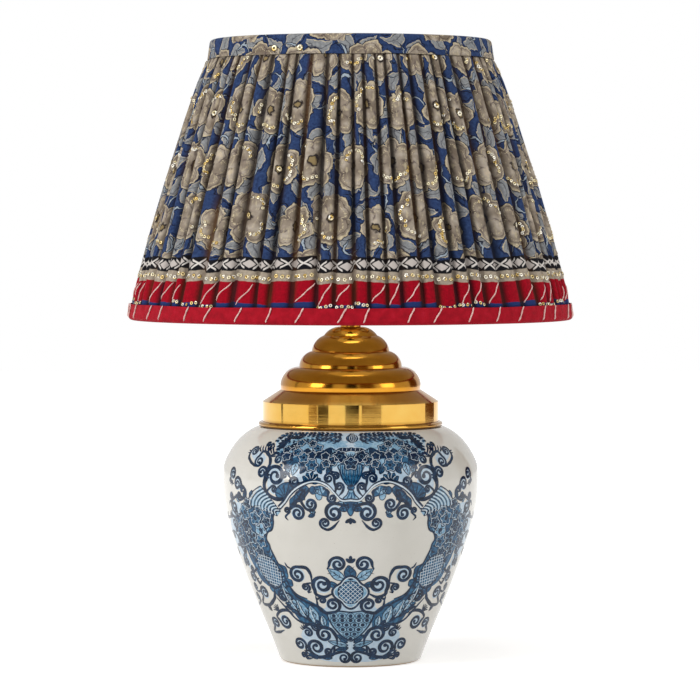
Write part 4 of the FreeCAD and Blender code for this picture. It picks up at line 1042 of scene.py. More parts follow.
# %% The sequins
SEQUIN_ROWS = ((31.5, 5.4, 1.12), (3.4, 5.0, 0.95))
width, height = CLOTH_WIDTH * 1000, CLOTH_HEIGHT * 1000
sequins = []
for rise, pitch, size in SEQUIN_ROWS:
    for cut in np.arange(0, width - pitch / 2, pitch):
        fold, share, level = place_on_cloth(cut * MM, (rise + 0.7 * math.sin(cut * 0.9)) * MM)
        hidden = not 0.12 < share < 0.88
        missing = rise < 10 and math.sin(fold * 0.9) + 0.4 * math.sin(fold * 5.0) < 0.1
        if not (hidden or missing):
            sequins.append(laid_sequin(fold, share, level, size, rng.normal(0, 0.12, 2)))
for row in range(int(height / CELL_HEIGHT) + 1):
    for column in range(int(width / CELL_WIDTH) + 1):
        seed, other = (column * by_column + row * by_row for by_column, by_row in (SEED_STEPS, OTHER_STEPS))
        middle_x = (column + 0.5 + CELL_WANDER * math.sin(seed) - 0.5 * (row % 2)) * CELL_WIDTH
        middle_y = (row + 0.5 + CELL_WANDER * math.sin(other)) * CELL_HEIGHT
        begin = rng.uniform(0, 2 * math.pi)
        spots = [(0.0, 0.0, 1.5)] if rng.random() < 0.5 else []
        for step in range(rng.integers(7, 17)):
            angle = begin + step * 0.21
            petal = abs(math.sin(3 * (angle + seed))) ** PETAL_POWER
            reach = DOTTED_RING * (BLOSSOM_REACH + BLOSSOM_VARIES * math.sin(other) + PETAL_REACH * petal)
            spots.append((reach * math.cos(angle), reach * math.sin(angle), 0.95))
        for right, above, size in spots:
            cut, rise = middle_x + right, middle_y + above
            if not (0 < cut < width and BORDER_CROSS + 2 < rise < height - 3):
                continue
            fold, share, level = place_on_cloth(cut * MM, rise * MM)
            if 0.16 < share < 0.84:
                sequins.append(laid_sequin(fold, share, level, size, rng.normal(0, 0.15, 2)))
# Two large ones sit on the top strip, left of the middle.
for turn in np.radians((-121.0, -110.0)):
    out, right = round_axis(1.0, turn, 0.0), round_axis(1.0, turn + math.pi / 2, 0.0)
    disc = 1.6 * (sequin_points @ np.stack([right, np.array([0, 0, 1.0]), out]))
    sequins.append((round_axis(TOP_LIP + 0.3 * MM, turn, top_edge - 14 * MM) + disc, sequin_faces))
sewn_sequins = new_piece("sewn_sequins", *joined(sequins), "metallised_film")
settled(sewn_sequins, "shade", "printed_cloth")
print(len(sequins), "sequins")

# %% [markdown]
# The printed cloth is about one and a half times as long as the shade is round, as gathered cloth is.

# %% What the cloths were cut from
print("four cloths declared, the largest", round(CLOTH_WIDTH * CLOTH_HEIGHT, 3), "square metres")

# %% [markdown]
# The jar is painted by hand in cobalt, over the raw glaze, before it is fired. It could be a pattern of
# nodes, but no formula draws a vase of flowers, so the painter's strokes are made as they were painted:
# thin skins of colour that follow the jar, pale wash first, then mid blue, then the dark brush lines. The
# design is traditional and the same on both sides of its middle, so each stroke is painted twice. The panel
# in the middle stays bare.

# %% The jar's outline, for the painter
from mathutils.bvhtree import BVHTree

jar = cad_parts["jar"]
jar_corners = [v.co for v in jar.data.vertices]
jar_tree = BVHTree.FromPolygons(jar_corners, [tuple(f.vertices) for f in jar.data.polygons])
jar_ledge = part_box("brass_lid")[0].z - 0.4 * MM
FAR_OUT = 0.3
jar_levels = np.linspace(3 * MM, jar_ledge, 240)
jar_radii = []
for level in jar_levels:
    reaches = []
    for turn in np.linspace(0, math.pi, 13):
        out = Vector((math.cos(turn), math.sin(turn), 0))
        hit = jar_tree.ray_cast(out * FAR_OUT + Vector((0, 0, level)), -out)[0]
        reaches.append(math.hypot(hit.x, hit.y))
    jar_radii.append(max(reaches))
jar_radii = np.array(jar_radii)
jar_runs = run_along(np.stack([jar_radii, jar_levels], -1))
jar_out = np.gradient(jar_levels, jar_runs)
jar_up = -np.gradient(jar_radii, jar_runs)
print("the jar's outline is", round(jar_runs[-1] * 1000), "mm long from foot to ledge")

# %% [markdown]
# The design is planned flat, as a painter pricks it on paper, in units of 0.19 mm to the right of the
# middle and down from the top. Each spot of it is thrown onto the jar along the camera's line of sight, and
# kept as a turn round the axis and a way up the outline. Small shapes are then drawn beside such a spot,
# true to size.

# %% From the flat design to the jar
SHEET = 0.1925 * MM
SHEET_TOP = 265.6 * MM


def seen_at(right, down):
    """Where a point of the flat design falls on the jar: its turn, and its way up the outline."""
    eye = camera.location
    way = Vector((right * SHEET, 0, SHEET_TOP - down * SHEET)) - eye
    hit = jar_tree.ray_cast(eye, way.normalized())[0]
    return math.atan2(hit.y, hit.x), float(np.interp(hit.z, jar_levels, jar_runs))


def places(spots):
    """Places of the design on the jar."""
    return [seen_at(*spot) for spot in spots]


def beside(spot, offsets):
    """Places near a spot, from offsets to the right and up in units of the design."""
    offsets = np.asarray(offsets, float) * SHEET
    radius = np.interp(spot[1], jar_runs, jar_radii)
    return np.stack([spot[0] + offsets[..., 0] / radius, spot[1] + offsets[..., 1]], -1)


def turned_by(tilt, x, y):
    """Offsets to the right and up, turned by an angle in degrees."""
    turn = math.radians(tilt)
    x, y = np.asarray(x, float), np.asarray(y, float)
    return np.stack([x * math.cos(turn) - y * math.sin(turn), x * math.sin(turn) + y * math.cos(turn)], -1)


def on_jar(spots, lift):
    """The points of the jar's face at some spots, a little proud of it, and the way out of it there."""
    turns, runs = spots[..., 0], np.clip(spots[..., 1], jar_runs[0], jar_runs[-1])
    radius, level = np.interp(runs, jar_runs, jar_radii), np.interp(runs, jar_runs, jar_levels)
    normals = round_axis(np.interp(runs, jar_runs, jar_out), turns, np.interp(runs, jar_runs, jar_up))
    return round_axis(radius, turns, level) + normals * lift, normals


print("the design's middle, 700 units down, is", round(1000 * places([(0, 700)])[0][1]), "mm up the outline")

# %% [markdown]
# A brush stroke is a ribbon of faces along a curve through a few spots. It is thin where the brush lands,
# swells, and runs out where the brush lifts. Each layer of colour lies a little higher than the one below
# it, by a few hundredths of a millimetre, so that no two skins share a place. A stroke is painted on both
# sides of the middle.

# %% The painter's brush
LIFTS = {"wash": 0.05 * MM, "ground": 0.08 * MM, "pale": 0.11 * MM, "blue": 0.14 * MM, "dark": 0.17 * MM,
         "white": 0.20 * MM}
STROKE_STEP = 1.3 * MM
# How full an even line is at its start and its end.
EVEN = (0.9, 0.9)
painted = {layer: [] for layer in LIFTS}


def smooth_line(spots, step):
    """A curve through the spots, sampled at even steps."""
    spots = np.asarray(spots, float)
    if len(spots) > 2:
        padded = np.concatenate(([2 * spots[0] - spots[1]], spots, [2 * spots[-1] - spots[-2]]))
        t = np.linspace(0, 1, 9)[:-1, None]
        pieces = []
        for a, b, c, d in zip(padded, padded[1:], padded[2:], padded[3:]):
            pieces.append(0.5 * (2 * b + (c - a) * t + (2 * a - 5 * b + 4 * c - d) * t ** 2
                                 + (3 * b - a - 3 * c + d) * t ** 3))
        spots = np.concatenate(pieces + [spots[-1:]])
    run = run_along(on_jar(spots, 0)[0])
    count = max(4, int(run[-1] / step) + 1)
    even = np.linspace(0, run[-1], count)
    return np.stack([np.interp(even, run, spots[:, 0]), np.interp(even, run, spots[:, 1])], -1)


def sides(spots, both):
    """Spots where they are, and again on the other side of the design's middle."""
    mirrored = np.stack([-math.pi - spots[..., 0], spots[..., 1]], -1)
    return (spots, mirrored) if both else (spots,)


def stroke(layer, spots, width, start=0.4, end=0.3, both=True):
    """A brush stroke through spots: it swells from its start and thins out at its end."""
    line = smooth_line(spots, STROKE_STEP)
    share = np.linspace(0, 1, len(line))
    swell = np.minimum(1, start + (1 - start) * share / 0.15)
    swell = swell * np.minimum(1, end + (1 - end) * (1 - share) / 0.25)
    half = width * SHEET / 2 * swell * (1 + 0.1 * np.sin(share * 19 + len(line)))
    faces = [(2 * i, 2 * i + 1, 2 * i + 3, 2 * i + 2) for i in range(len(line) - 1)]
    for side in sides(line, both):
        points, normals = on_jar(side, LIFTS[layer])
        ahead = np.gradient(points, axis=0)
        ahead /= np.linalg.norm(ahead, axis=1)[:, None] + 1e-12
        across = np.cross(ahead, normals) * half[:, None]
        painted[layer].append((np.stack([points - across, points + across], 1).reshape(-1, 3), faces))


print("layers of colour, from the glaze up:", list(LIFTS))

# %% [markdown]
# A filled shape has to bend with the jar, or its middle would sink into the glaze. So its edge is cut into
# short steps, and rings of faces lead from its heart to its edge. A swath does the same between two lines.
# Ovals and lobed shapes are worked out beside a spot, and most shapes get a dark line round them.

# %% Filled shapes
FACE_SPAN = 2.6 * MM


def closed(spots):
    """A line that comes back to where it starts."""
    return np.concatenate([spots, spots[:2]])


def lay(layer, spots, faces, both):
    """Lays faces over spots of the jar in a layer of colour, turned to look out of it."""
    for side in sides(spots, both):
        points = on_jar(side, LIFTS[layer])[0]
        a, b, c = (points[i] for i in faces[len(faces) // 2][:3])
        inwards = np.dot(np.cross(b - a, c - a), a * (1, 1, 0)) < 0
        painted[layer].append((points, [tuple(reversed(face)) for face in faces] if inwards else faces))


def pool(layer, spots, both=True):
    """A filled shape of colour: rings of faces from its middle out to its edge."""
    edge = np.asarray(spots, float)
    if np.diff(run_along(on_jar(edge, 0)[0])).max() > FACE_SPAN:
        edge = smooth_line(closed(edge)[:-1], FACE_SPAN)[:-1]
    heart = edge.mean(axis=0)
    count = len(edge)
    reach = np.linalg.norm(on_jar(edge, 0)[0] - on_jar(heart, 0)[0], axis=1).max()
    shares = np.linspace(0, 1, max(2, int(reach / FACE_SPAN)) + 1)[1:]
    faces = []
    for i in range(count):
        after = (i + 1) % count
        faces.append((0, 1 + i, 1 + after))
        for ring in range(len(shares) - 1):
            low, high = 1 + ring * count, 1 + (ring + 1) * count
            faces.append((low + i, high + i, high + after, low + after))
    rings = [heart + (edge - heart) * share for share in shares]
    lay(layer, np.concatenate([heart[None]] + rings), faces, both)


def swath(layer, inner, outer, both=True):
    """A band of colour between two lines."""
    pair = [smooth_line(places(line), FACE_SPAN) for line in (inner, outer)]
    count = max(len(line) for line in pair)
    steps = np.linspace(0, 1, count)
    one, other = (np.stack([np.interp(steps, np.linspace(0, 1, len(line)), way) for way in line.T], -1)
                  for line in pair)
    widest = np.linalg.norm(on_jar(other, 0)[0] - on_jar(one, 0)[0], axis=1).max()
    columns = max(3, int(widest / FACE_SPAN) + 2)
    faces = []
    for column in range(columns - 1):
        low, high = column * count, (column + 1) * count
        faces += [(low + i, low + i + 1, high + i + 1, high + i) for i in range(count - 1)]
    lay(layer, np.concatenate([one + (other - one) * s for s in np.linspace(0, 1, columns)]), faces, both)


def oval(spot, wide, high, tilt=0.0, count=14, lobes=0, depth=0.0):
    """The edge of an oval or lobed shape round a spot."""
    around = np.linspace(0, 2 * math.pi, count, endpoint=False)
    reach = 1 + depth * np.cos(lobes * around)
    return beside(spot, turned_by(tilt, wide * reach * np.cos(around), high * reach * np.sin(around)))


def outlined(layer, edge, width, both=True):
    """A filled shape with a dark line round it."""
    pool(layer, edge, both)
    stroke("dark", closed(edge), width, *EVEN, both)


def fan(layer, right, down, reach, tilts, width, near=0.15, both=True):
    """Brush strokes that spread from one place, each with a tilt in degrees."""
    spot = seen_at(right, down)
    for tilt in tilts:
        finger = turned_by(tilt, (near * reach, 0.6 * reach, reach), (0, 0.06 * reach, 0))
        stroke(layer, beside(spot, finger), width, 0.5, 0.35, both)


print("faces on the jar are about", round(FACE_SPAN * 1000, 1), "mm long")

# %% [markdown]
# Nearly all of the design is made of five things that a painter learns by heart: the scroll, the leaf, the
# flower, the fern and the trellis. Each is one function here, with its place, its size and its tilt. A
# scroll's spiral starts where its tail touches the circle, so that stem and spiral are one smooth line.

# %% The scroll and the leaf
CURL_TURNS = 1.5


def ray(reach, angle, shares, bend=0.0):
    """Offsets from a spot along a line that may bend, at shares of its reach."""
    return [(reach * s * math.cos(angle + bend * s), reach * s * math.sin(angle + bend * s)) for s in shares]


def curl(right, down, radius, hand, tail, comb=0, fill="wash"):
    """A scroll: a tail that winds into a spiral with a dot in its eye, and perhaps a comb of strokes."""
    spot = seen_at(right, down)
    width = 7 + 0.24 * radius
    last = (tail[-1][0] - right, down - tail[-1][1])
    gap = max(math.hypot(*last), radius * 1.02)
    begin = math.atan2(last[1], last[0]) + hand * math.acos(radius / gap)
    share = np.linspace(0, 1, 28)
    angles = begin + hand * share * CURL_TURNS * 2 * math.pi
    reach = radius * (1 - 0.76 * share ** 0.85)
    winding = beside(spot, np.stack([reach * np.cos(angles), reach * np.sin(angles)], -1))
    pool(fill, oval(spot, radius * 0.86, radius * 0.86))
    stroke("dark", np.concatenate([places(tail), winding]), width, 0.3, 0.6)
    pool("dark", oval(winding[-1], radius * 0.17 + 3, radius * 0.17 + 3, count=8))
    for index in range(comb):
        angle = begin - hand * (0.35 + 0.3 * index)
        tooth = ray(radius, angle, (1.0, 1.4, 1.85), 0.2 * hand)
        stroke("dark", beside(spot, tooth), width * 0.62, 0.7, 0.25)


def leaf(right, down, length, tilt, wide, layer="blue", veins=2, both=True):
    """A painted leaf from its stalk, pointing at a tilt: its body, its outline and its veins."""
    spot = seen_at(right, down)
    share = np.linspace(0, 1, 9)
    half = wide / 2 * np.sin(math.pi * share) ** 0.8 * (1.25 - 0.5 * share)
    xs = np.concatenate([share * length, (share * length)[-2:0:-1]])
    ys = np.concatenate([half, -half[-2:0:-1]]) + 0.12 * length * (xs / length) ** 2
    outlined(layer, beside(spot, turned_by(tilt, xs, ys)), 5.0, both)
    midrib = turned_by(tilt, share * length * 0.9, 0.12 * length * share ** 2)
    stroke("dark", beside(spot, midrib), 4.4, 0.9, 0.3, both)
    for index in range(veins):
        for side in (1, -1):
            x = length * (0.25 + 0.25 * index)
            vein = turned_by(tilt, (x, x + 0.16 * length), (0, side * wide * 0.3))
            stroke("dark", beside(spot, vein), 3.4, 0.9, 0.3, both)


print("a scroll winds", CURL_TURNS, "times round its eye")

# %% [markdown]
# A flower is a pale ground with colour on its petals and dark lines over it, and a fern is short strokes in
# pairs along a stalk. In a trellis the white lines are cut off where they meet the oval's edge.

# %% The flower, the fern and the trellis
def bloom(right, down, radius, petals, tilt=0.0, both=True, petal_layer="blue"):
    """A flower: a pale lobed ground, a touch of colour on each petal, dark outlines, and a ringed heart."""
    spot = seen_at(right, down)
    lobed = (tilt, petals * 6, petals, 0.16)
    outlined("pale", oval(spot, radius, radius, *lobed), 5.4, both)
    stroke("white", closed(oval(spot, 0.88 * radius, 0.88 * radius, *lobed)), 2.4, *EVEN, both)
    for index in range(petals):
        angle = math.radians(tilt) + 2 * math.pi * index / petals
        heart = beside(spot, ray(radius, angle, (0.64,))[0])
        pool(petal_layer, oval(heart, radius * 0.34, radius * 0.27, math.degrees(angle), 10), both)
        parting = ray(radius, angle + math.pi / petals, (0.3, 0.84))
        stroke("dark", beside(spot, parting), 4.0, 0.9, 0.5, both)
    pool("dark", oval(spot, radius * 0.3, radius * 0.3, 0, 12), both)
    touch = turned_by(tilt, (0, 0.14 * radius), (0, 0.1 * radius))
    stroke("pale", beside(spot, touch), 0.22 * radius, *EVEN, both)


def spray(points, count, length, width=9, both=True):
    """A fern: a stalk with pairs of short leaf strokes."""
    stalk = smooth_line(places(points), 1.2 * MM)
    stroke("dark", stalk, 5, 0.9, 0.4, both)
    for index in range(count):
        share = (index + 0.5) / count
        number = int(share * (len(stalk) - 1))
        place, near = stalk[number], stalk[min(number + 1, len(stalk) - 1)]
        radius = np.interp(place[1], jar_runs, jar_radii)
        way = math.atan2(near[1] - place[1], (near[0] - place[0]) * radius)
        for side in (1, -1):
            frond = ray(length * (1 - 0.5 * share), way + side * 0.95, (0.1, 0.55, 1.0), -0.3 * side)
            stroke("dark" if (index + side) % 3 else "blue", beside(place, frond), width, 0.5, 0.4, both)


def trellis(right, down, wide, high, tilt, step, both=True):
    """An oval of crossed white lines on blue, with a dark rim."""
    spot = seen_at(right, down)
    pool("blue", oval(spot, wide, high, tilt, 20), both)
    for slant in (math.radians(45), math.radians(-45)):
        across = math.hypot(wide * math.sin(slant), high * math.cos(slant))
        for offset in np.arange(-across + step / 2, across, step):
            half = wide * high / across * math.sqrt(max(1 - (offset / across) ** 2, 0.0))
            skew = offset * (wide * wide - high * high) * math.sin(slant) * math.cos(slant) / across ** 2
            along = np.array((-0.96, 0, 0.96)) * half - skew
            x = along * math.cos(slant) - offset * math.sin(slant)
            y = along * math.sin(slant) + offset * math.cos(slant)
            stroke("white", beside(spot, turned_by(tilt, x, y)), 3.1, *EVEN, both)
    stroke("dark", closed(oval(spot, wide, high, tilt, 24)), 7, *EVEN, both)


print("five kinds of brushwork, in", len(painted), "layers")

# %% [markdown]
# First come the grounds. A wavy frame runs round the bare panel: an arch of a white line between dark ones
# at the top, and a broad blue swath down both sides, which ends beside the basket at the bottom. Its outer
# edge is cut into lobes and short strokes.

# %% Painting the grounds and the frame of the panel
PANEL = [(0, 538), (48, 538), (84, 502), (124, 460), (178, 440), (230, 447), (282, 474), (318, 508),
         (342, 545), (368, 575), (398, 592), (412, 622), (410, 655), (418, 690), (440, 704), (447, 738),
         (432, 766), (424, 792), (404, 832), (386, 866), (360, 898), (350, 935), (326, 985), (286, 1032),
         (230, 1058)]
SIDE = [(430, 592), (470, 568), (512, 550), (548, 562), (572, 600), (584, 650), (580, 700), (568, 750),
        (548, 800), (530, 845), (508, 888), (480, 946), (440, 986), (392, 1008), (342, 1044), (326, 1092),
        (294, 1140), (264, 1176), (200, 1198)]
ARCH = 10
PANEL_MIDDLE = 770


def grown(spots, growth):
    """Spots moved out from the panel's middle."""
    return [(x * growth, PANEL_MIDDLE + (y - PANEL_MIDDLE) * growth) for x, y in spots]


swath("wash", [(0, 534), (60, 522), (110, 455), (190, 428), (280, 440)],
      [(0, 176), (150, 176), (290, 180), (385, 200), (392, 268)])
for x, y, wide, high, tilt in ((168, 226, 150, 44, 4), (316, 262, 84, 62, -20), (150, 330, 110, 34, 0)):
    pool("pale", oval(seen_at(x, y), wide, high, tilt, 30, 9, 0.1))
swath("ground", [(240, 1056), (190, 1082), (150, 1106), (112, 1140)],
      [(262, 1180), (220, 1198), (160, 1216), (114, 1226)])
swath("wash", [(556, 560), (568, 640), (570, 720), (548, 820), (500, 940)],
      [(600, 540), (632, 600), (630, 680), (592, 790), (510, 930)])
swath("wash", [(0, 1085), (110, 1090), (200, 1170), (250, 1215)],
      [(0, 1392), (120, 1390), (220, 1350), (262, 1250)])
swath("ground", PANEL[ARCH - 1:], SIDE)
outlined("ground", places([(232, 446), (262, 438), (305, 442), (340, 438), (372, 450), (394, 476), (394, 512),
                           (348, 524), (318, 508), (282, 474)]), 5)
fan("dark", 348, 518, 74, (20, 52, 80, 108, 136), 7)
for x, y, wide, high, tilt in (
        (262, 502, 56, 26, -46), (300, 534, 36, 20, -50), (152, 484, 42, 22, 25), (196, 480, 26, 20, 0),
        (568, 712, 28, 50, 0), (366, 914, 40, 44, 0), (328, 972, 26, 24, 0), (404, 1004, 44, 26, 42),
        (316, 1100, 34, 22, 45), (532, 600, 40, 30, -30)):
    outlined("ground", oval(seen_at(x, y), wide, high, tilt, 18, 5, 0.08), 4.5)
fan("dark", 240, 470, 62, (-30, -58, -86), 9)
fan("pale", 150, 500, 44, (20, 50, 80, 110), 6)
for layer, growth, width in (("dark", 1, 7), ("white", 1.018, 8), ("dark", 1.044, 12)):
    stroke(layer, places(grown(PANEL[:ARCH], growth)), width, 1.0, 0.9)
outlined("pale", oval(seen_at(170, 504), 18, 28, -10), 4)
pool("wash", places([(446, 306), (466, 282), (498, 266), (524, 274), (522, 300), (500, 330), (472, 344)]))
pool("wash", places([(340, 494), (356, 420), (392, 350), (428, 348), (438, 410), (440, 462), (410, 500)]))
stroke("dark", places(PANEL[ARCH - 1:]), 10, 1.0, 0.6)
for index, spot in enumerate(smooth_line(places(grown(PANEL[ARCH:23], 1.07)), 6.5 * MM)):
    sway = 2 * math.sin(index * 1.7)
    for layer, tilt, x, y, width in (
            ("dark", 200 - 17 * index % 90, (0, 16, 34), (0, 6 + sway, 2), 10),
            ("pale", 150 - 31 * index % 120, (10, 26, 44), (6, 12 + sway, 4), 5)):
        stroke(layer, beside(spot, turned_by(tilt, x, y)), width, 0.8, 0.3)
OUTER_EDGE = places([(520, 800), (500, 850), (478, 905), (440, 950), (392, 988), (352, 1022), (318, 1062),
                     (276, 1104), (200, 1130)])
for index, spot in enumerate(smooth_line(OUTER_EDGE, 7.5 * MM)):
    tilt = 60 - 47 * index % 150
    for layer, turn, x, y, width, start in (
            ("pale", tilt, (-14, 6, 24), (-6, 7, 0), 7, 0.6),
            ("white", tilt + 40, (-10, 4, 16), (8, 12, 4), 2.6, 0.6),
            ("dark", tilt - 60, (0, 16, 30), (0, -8, -2), 6, 0.8)):
        stroke(layer, beside(spot, turned_by(turn, x, y)), width, start, 0.3)
print("grounds painted,", sum(len(lots) for lots in painted.values()), "pieces of brushwork so far")

# %% [markdown]
# Over the arch stands a fluted vase with flowers and ferns that spread to both shoulders. The dark masses
# of the bouquet go down first, then pale and white marks on them, then single flowers and leaves, and last
# the ferns that fringe it at the top and the vase in front.

# %% Painting the vase and its flowers
for x, y, wide, high, tilt, lobes in (
        (166, 290, 66, 25, -5, 7), (114, 268, 20, 18, 0, 3), (230, 272, 20, 17, 0, 4),
        (292, 249, 29, 26, 0, 1), (286, 200, 34, 15, -10, 3), (312, 290, 30, 12, -20, 3),
        (130, 318, 30, 12, 15, 3)):
    pool("dark", oval(seen_at(x, y), wide, high, tilt, 24, lobes, 0.12))
for x, y, wide, high, tilt in ((300, 312, 44, 34, -30), (96, 228, 48, 20, 8), (212, 320, 44, 26, 0)):
    pool("ground", oval(seen_at(x, y), wide, high, tilt, 20, 6, 0.08))
fan("pale", 52, 236, 92, (22, 12, 2, -8), 4, 0.2)
fan("white", 292, 249, 20, (30, 102, 174, 246, 318), 3)
fan("pale", 166, 296, 56, (12, 34, 58, 90, 122, 146, 168), 4, 0.4)
for x, y, size, petals, tilt, layer in (
        (172, 258, 27, 5, 0, "blue"), (248, 306, 30, 5, 10, "blue"), (208, 346, 34, 6, 0, "blue"),
        (340, 300, 27, 5, 0, "dark"), (336, 264, 24, 5, 20, "dark"), (92, 322, 28, 5, 30, "blue"),
        (262, 228, 24, 5, 20, "blue"), (200, 232, 22, 5, 0, "dark"), (130, 338, 24, 5, 10, "blue")):
    bloom(x, y, size, petals, tilt, petal_layer=layer)
outlined("pale", oval(seen_at(0, 294), 100, 44, 0, 36, 6, 0.1), 5, both=False)
outlined("pale", oval(seen_at(108, 282), 34, 30, 20, 18, 5, 0.08), 5)
fan("dark", 82, 300, 54, (20, 45, 70), 5, 0.3)
for x in range(-46, 47, 23):
    pool("dark", oval(seen_at(x + 4, 263 + 0.1 * abs(x)), 17, 13), both=False)
stroke("white", places([(-36, 282), (4, 274), (44, 282)]), 4, 0.6, 0.6, both=False)
bloom(57, 300, 37, 6, 12, petal_layer="dark")
for x, y, size in ((206, 294, 25), (134, 298, 24), (282, 276, 25)):
    bloom(x, y, size, 5, 20)
fan("dark", 2, 326, 46, (50, 64, 78, 92, 106, 120, 134), 5, both=False)
bloom(2, 338, 36, 5, 90, False, "dark")
for x in range(-46, 47, 23):
    stroke("white", places([(x + 4, 256), (x + 1, 272)]), 2.6, 0.6, 0.4, both=False)
pool("pale", oval(seen_at(38, 342), 11, 16))
for x, y, length, tilt, wide, layer in (
        (150, 330, 46, -110, 34, "blue"), (287, 330, 72, -88, 40, "pale"), (306, 318, 66, -58, 32, "blue"),
        (262, 330, 50, -110, 26, "blue"), (176, 356, 44, -130, 26, "blue"), (240, 356, 44, -60, 26, "blue"),
        (330, 350, 44, -100, 22, "pale"), (104, 350, 46, -70, 26, "blue"), (84, 346, 40, 20, 22, "pale")):
    leaf(x, y, length, tilt, wide, layer)
for tilt in (152, 122, 58, 28, 90):
    leaf(211, 440, 56, tilt, 34, veins=1)
fan("white", 211, 436, 46, (138, 106, 76, 44), 3, 0.4)
outlined("blue", oval(seen_at(8, 204), 29, 30), 6, both=False)
for bend in (-20, -8, 4, 16):
    for layer, x, reach, width in (("dark", 8, 26, 5.5), ("white", 14, 22, 2.4)):
        line = [(x + 0.4 * bend, 204 - reach), (x + bend, 204), (x + 0.4 * bend, 204 + reach)]
        stroke(layer, places(line), width, 0.5, 0.5, both=False)
for points, count, length, width in (
        (((44, 214), (130, 195), (245, 187)), 9, 36, 16), (((245, 200), (285, 190), (330, 204)), 5, 38, 18),
        (((40, 190), (150, 180), (300, 178)), 12, 32, 15), (((300, 180), (350, 188), (392, 222)), 5, 34, 17),
        (((60, 226), (170, 210), (330, 226)), 11, 26, 11), (((330, 228), (372, 246), (396, 288)), 4, 30, 13),
        (((120, 212), (184, 216), (262, 240)), 9, 26, 8), (((320, 286), (350, 280), (388, 288)), 4, 32, 13),
        (((300, 300), (340, 318), (372, 352)), 5, 26, 10)):
    spray(points, count, length, width)
fan("dark", 330, 240, 70, (66, 46, 26, 8, -12, -32), 17, 0.3)
fan("blue", 334, 240, 50, (56, 36, 16, -4), 6, 0.4)
print("bouquet painted,", sum(len(lots) for lots in painted.values()), "pieces of brushwork so far")

# %% [markdown]
# The vase is a cup with upright flutes, a knob and a spreading foot. Its outline is given as widths at five
# heights, and each flute is the same outline drawn in narrower, dark and blue by turns.

# %% Painting the cup, the knob and the foot of the vase
CUP_WIDTH = 61
cup = [(1.00, 345), (0.98, 378), (0.86, 405), (0.62, 432), (0.25, 456)]
cup_edge = [(2 + CUP_WIDTH * share, y) for share, y in cup]
cup_edge += [(2 - CUP_WIDTH * share, y) for share, y in reversed(cup)]
pool("pale", places(cup_edge), both=False)
for index, share in enumerate(np.linspace(-0.92, 0.92, 12)):
    flute = [(2 + CUP_WIDTH * share * wide, y + 2) for wide, y in cup]
    stroke(("dark", "blue")[index % 2], places(flute), (5, 10)[index % 2], 0.9, 0.5, both=False)
stroke("dark", closed(places(cup_edge)), 6, *EVEN, both=False)
outlined("blue", oval(seen_at(2, 466), 18, 13), 5, both=False)
outlined("pale", places([(-8, 478), (12, 478), (22, 502), (42, 530), (-39, 530), (-18, 502)]), 6, both=False)
fan("blue", 2, 474, 52, (-66, -90, -114), 9, 0.3, both=False)
print("the vase has", index + 1, "flutes")

# %% [markdown]
# The scrolls carry the design: they hang under the arch, climb the shoulders, run down the sides and meet
# at the foot. The table gives each its place, its radius, its hand and the spots that its tail comes
# through. Thick stems go over some of the tails at the end.

